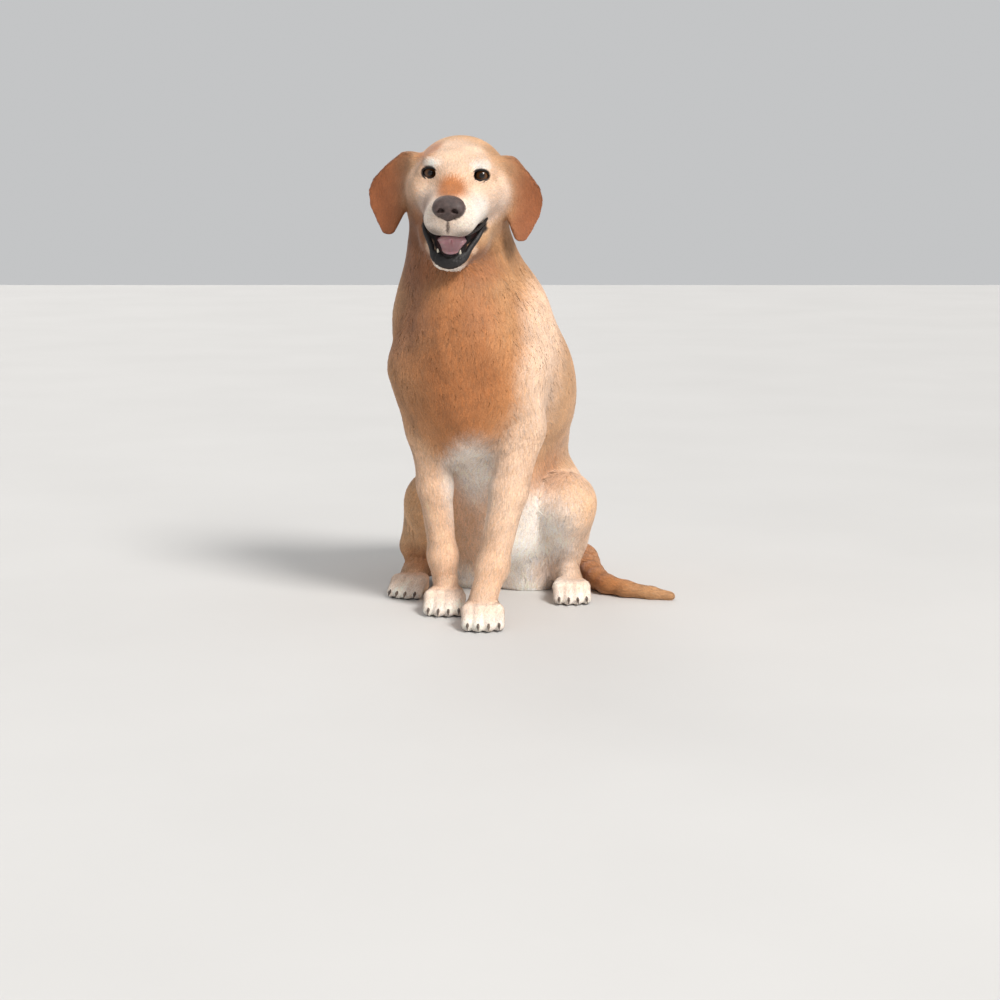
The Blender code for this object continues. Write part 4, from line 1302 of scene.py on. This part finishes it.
def pad_masses(paw, heading, size):
    """The large pad and the four toe pads, resting on the floor."""
    turn = Matrix.Rotation(heading, 3, "Z")
    palm = paw + turn @ Vector((0, 0.006, 0.0045)) * size
    masses = [ellipsoid(palm, np.array((0.019, 0.014, 0.0062)) * size, 0.004, turn)]
    for _, knuckle, tip in toe_points(paw, heading, size):
        centre = Vector(tip).lerp(Vector(knuckle), 0.12)
        centre.z = 0.0052 * size
        masses.append(ellipsoid(centre, np.array((0.0072, 0.0092, 0.0060)) * size, 0.001, turn))
    return masses


def add_feet():
    horn = streaked_material("horn", (0.050, 0.036, 0.030), (0.16, 0.115, 0.085), 0.35, (1, 1, 0.2))
    dark, light = (0.018, 0.014, 0.014), (0.05, 0.038, 0.035)
    leather = leather_material("pad_leather", dark, light, 0.6, 900, 0.8, 0.0)
    pieces = []
    for name in SIDES:
        for foot, paw, heading, size in paws(name):
            leathers = pad_masses(paw, heading, size)
            pads = flattened(melted(f"pads_{foot}_{name}", leathers, [], 0.0012))
            pieces.append((dressed(pads, leather), [], "coat"))
            claws = []
            for _, knuckle, tip in toe_points(paw, heading, size):
                claws += claw_masses(knuckle, tip, size)
            nodes = [f"claw_{foot}_{name}_{number}" for number in range(1, 5)]
            piece = dressed(melted(f"claws_{foot}_{name}", claws, [], 0.0007), horn)
            pieces.append((piece, nodes, "claws"))
    return pieces


# ---------------------------------------------------------------- studio
def add_floor():
    mesh = bmesh.new()
    bmesh.ops.create_grid(mesh, x_segments=24, y_segments=24, size=9)
    made = object_of("studio_floor", mesh)
    dressed(made, floor_material())


def add_light(name, kind, place, target, size, power, colour):
    """A soft light. size is an area light's width in metres, or a sun's spread in radians."""
    light = bpy.data.lights.new(name, kind)
    if kind == "AREA":
        light.shape = "DISK"
        light.size = size
    else:
        light.angle = size
    light.energy = power
    light.color = colour
    made = bpy.data.objects.new(name, light)
    made.location = place
    made.rotation_euler = (Vector(target) - Vector(place)).to_track_quat("-Z", "Y").to_euler()
    bpy.context.scene.collection.objects.link(made)


def add_studio(shift):
    add_floor()
    middle = Vector((0.0, 0.0, 0.35)) + shift
    warm, mild = (1.0, 0.965, 0.93), (1.0, 0.98, 0.95)
    for name, kind, way, size, power, colour in (
        ("key", "SUN", (1.4, -1.9, 2.2), 0.30, 3.0, warm),
        ("catch", "AREA", (1.0, -2.0, 1.5), 0.7, 9, mild),
        ("rim", "SUN", (-0.8, 2.2, 1.8), 0.5, 0.5, mild),
    ):
        add_light(name, kind, middle + Vector(way), middle, size, power, colour)
    world = bpy.data.worlds.new("studio")
    world.use_nodes = True
    background = world.node_tree.nodes["Background"]
    background.inputs["Color"].default_value = (0.86, 0.87, 0.88, 1)
    background.inputs["Strength"].default_value = 0.64
    bpy.context.scene.world = world
    camera = bpy.data.cameras.new("camera")
    camera.sensor_width = 36
    camera.lens = CAMERA_LENS
    made = bpy.data.objects.new("camera", camera)
    made.location = CAMERA_PLACE + shift
    made.rotation_euler = (math.radians(90) - CAMERA_TILT, 0, 0)
    bpy.context.scene.collection.objects.link(made)
    bpy.context.scene.camera = made
    bpy.context.scene.view_settings.view_transform = "Standard"


# ---------------------------------------------------------------- the whole dog
def flesh_nodes():
    nodes = ["head", "lower_jaw", "neck", "chest", "abdomen", "rump"]
    nodes += ["tail_base", "tail_middle", "tail_tip"]
    for name in SIDES:
        for part in ("ear", "forearm", "front_paw", "thigh", "shank", "hind_paw"):
            nodes.append(f"{part}_{name}")
    return nodes


def placed(pieces):
    """Moves the pieces into the shared frame, each on its body, and hides the model's parts named
    by its nodes.
    """
    low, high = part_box("eye_left")
    shift = (low + high) / 2 - eye_centre(1)
    for piece, nodes, slot in pieces:
        if piece.location.length > 0:
            piece.location += shift
        else:
            piece.data.transform(Matrix.Translation(shift))
        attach(piece, "root")
        if nodes:
            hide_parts(*nodes)
    return shift


def main():
    masses = body_masses()
    hollows = mouth_masses() + [eye_opening(side) for side in SIDES.values()]
    for side in SIDES.values():
        hollows.append(ellipsoid(eye_centre(side), [EYE_RADIUS + 0.0006] * 3, 0.001))
    field = Field(masses, hollows, SKIN_VOXEL)
    skin = unwrapped(add_skin(field, masses))
    pieces = [(dressed(skin, coat_material("skin", 0.75, 260)), flesh_nodes(), "coat")]
    hair = coat_material("hair", 0.62, 420)
    pieces += [(dressed(coat, hair), [], "coat") for coat in add_coat(skin, field, masses)]
    dark, light = (0.005, 0.004, 0.004), (0.014, 0.010, 0.010)
    black = leather_material("lip_leather", dark, light, 0.55, 700, 0.4, 0.0)
    eye = eye_material()
    for name, side in SIDES.items():
        pieces.append((dressed(add_eye(name, side), eye), [f"eye_{name}"], "eyes"))
        lid = ring_tube(f"eyelid_{name}", eyelid_line(side), EYELID_RADIUS)
        pieces.append((dressed(lid, black), [], "nose"))
    dark, light = (0.040, 0.024, 0.021), (0.095, 0.058, 0.050)
    nose = leather_material("nose_leather", dark, light, 0.42, 1100, 0.6, 0.1)
    pieces.append((dressed(add_nose(), nose), ["nose"], "nose"))
    pieces.append((dressed(add_tongue(), tongue_material()), ["tongue"], "tongue"))
    pieces.append((dressed(add_lips(field), black), [], "nose"))
    tooth = streaked_material("tooth", (0.66, 0.58, 0.44), (0.82, 0.78, 0.68), 0.25, (1, 1, 0.3))
    pieces.append((dressed(add_teeth(), tooth), [], "claws"))
    pieces += add_feet()
    add_studio(placed(pieces))


main()
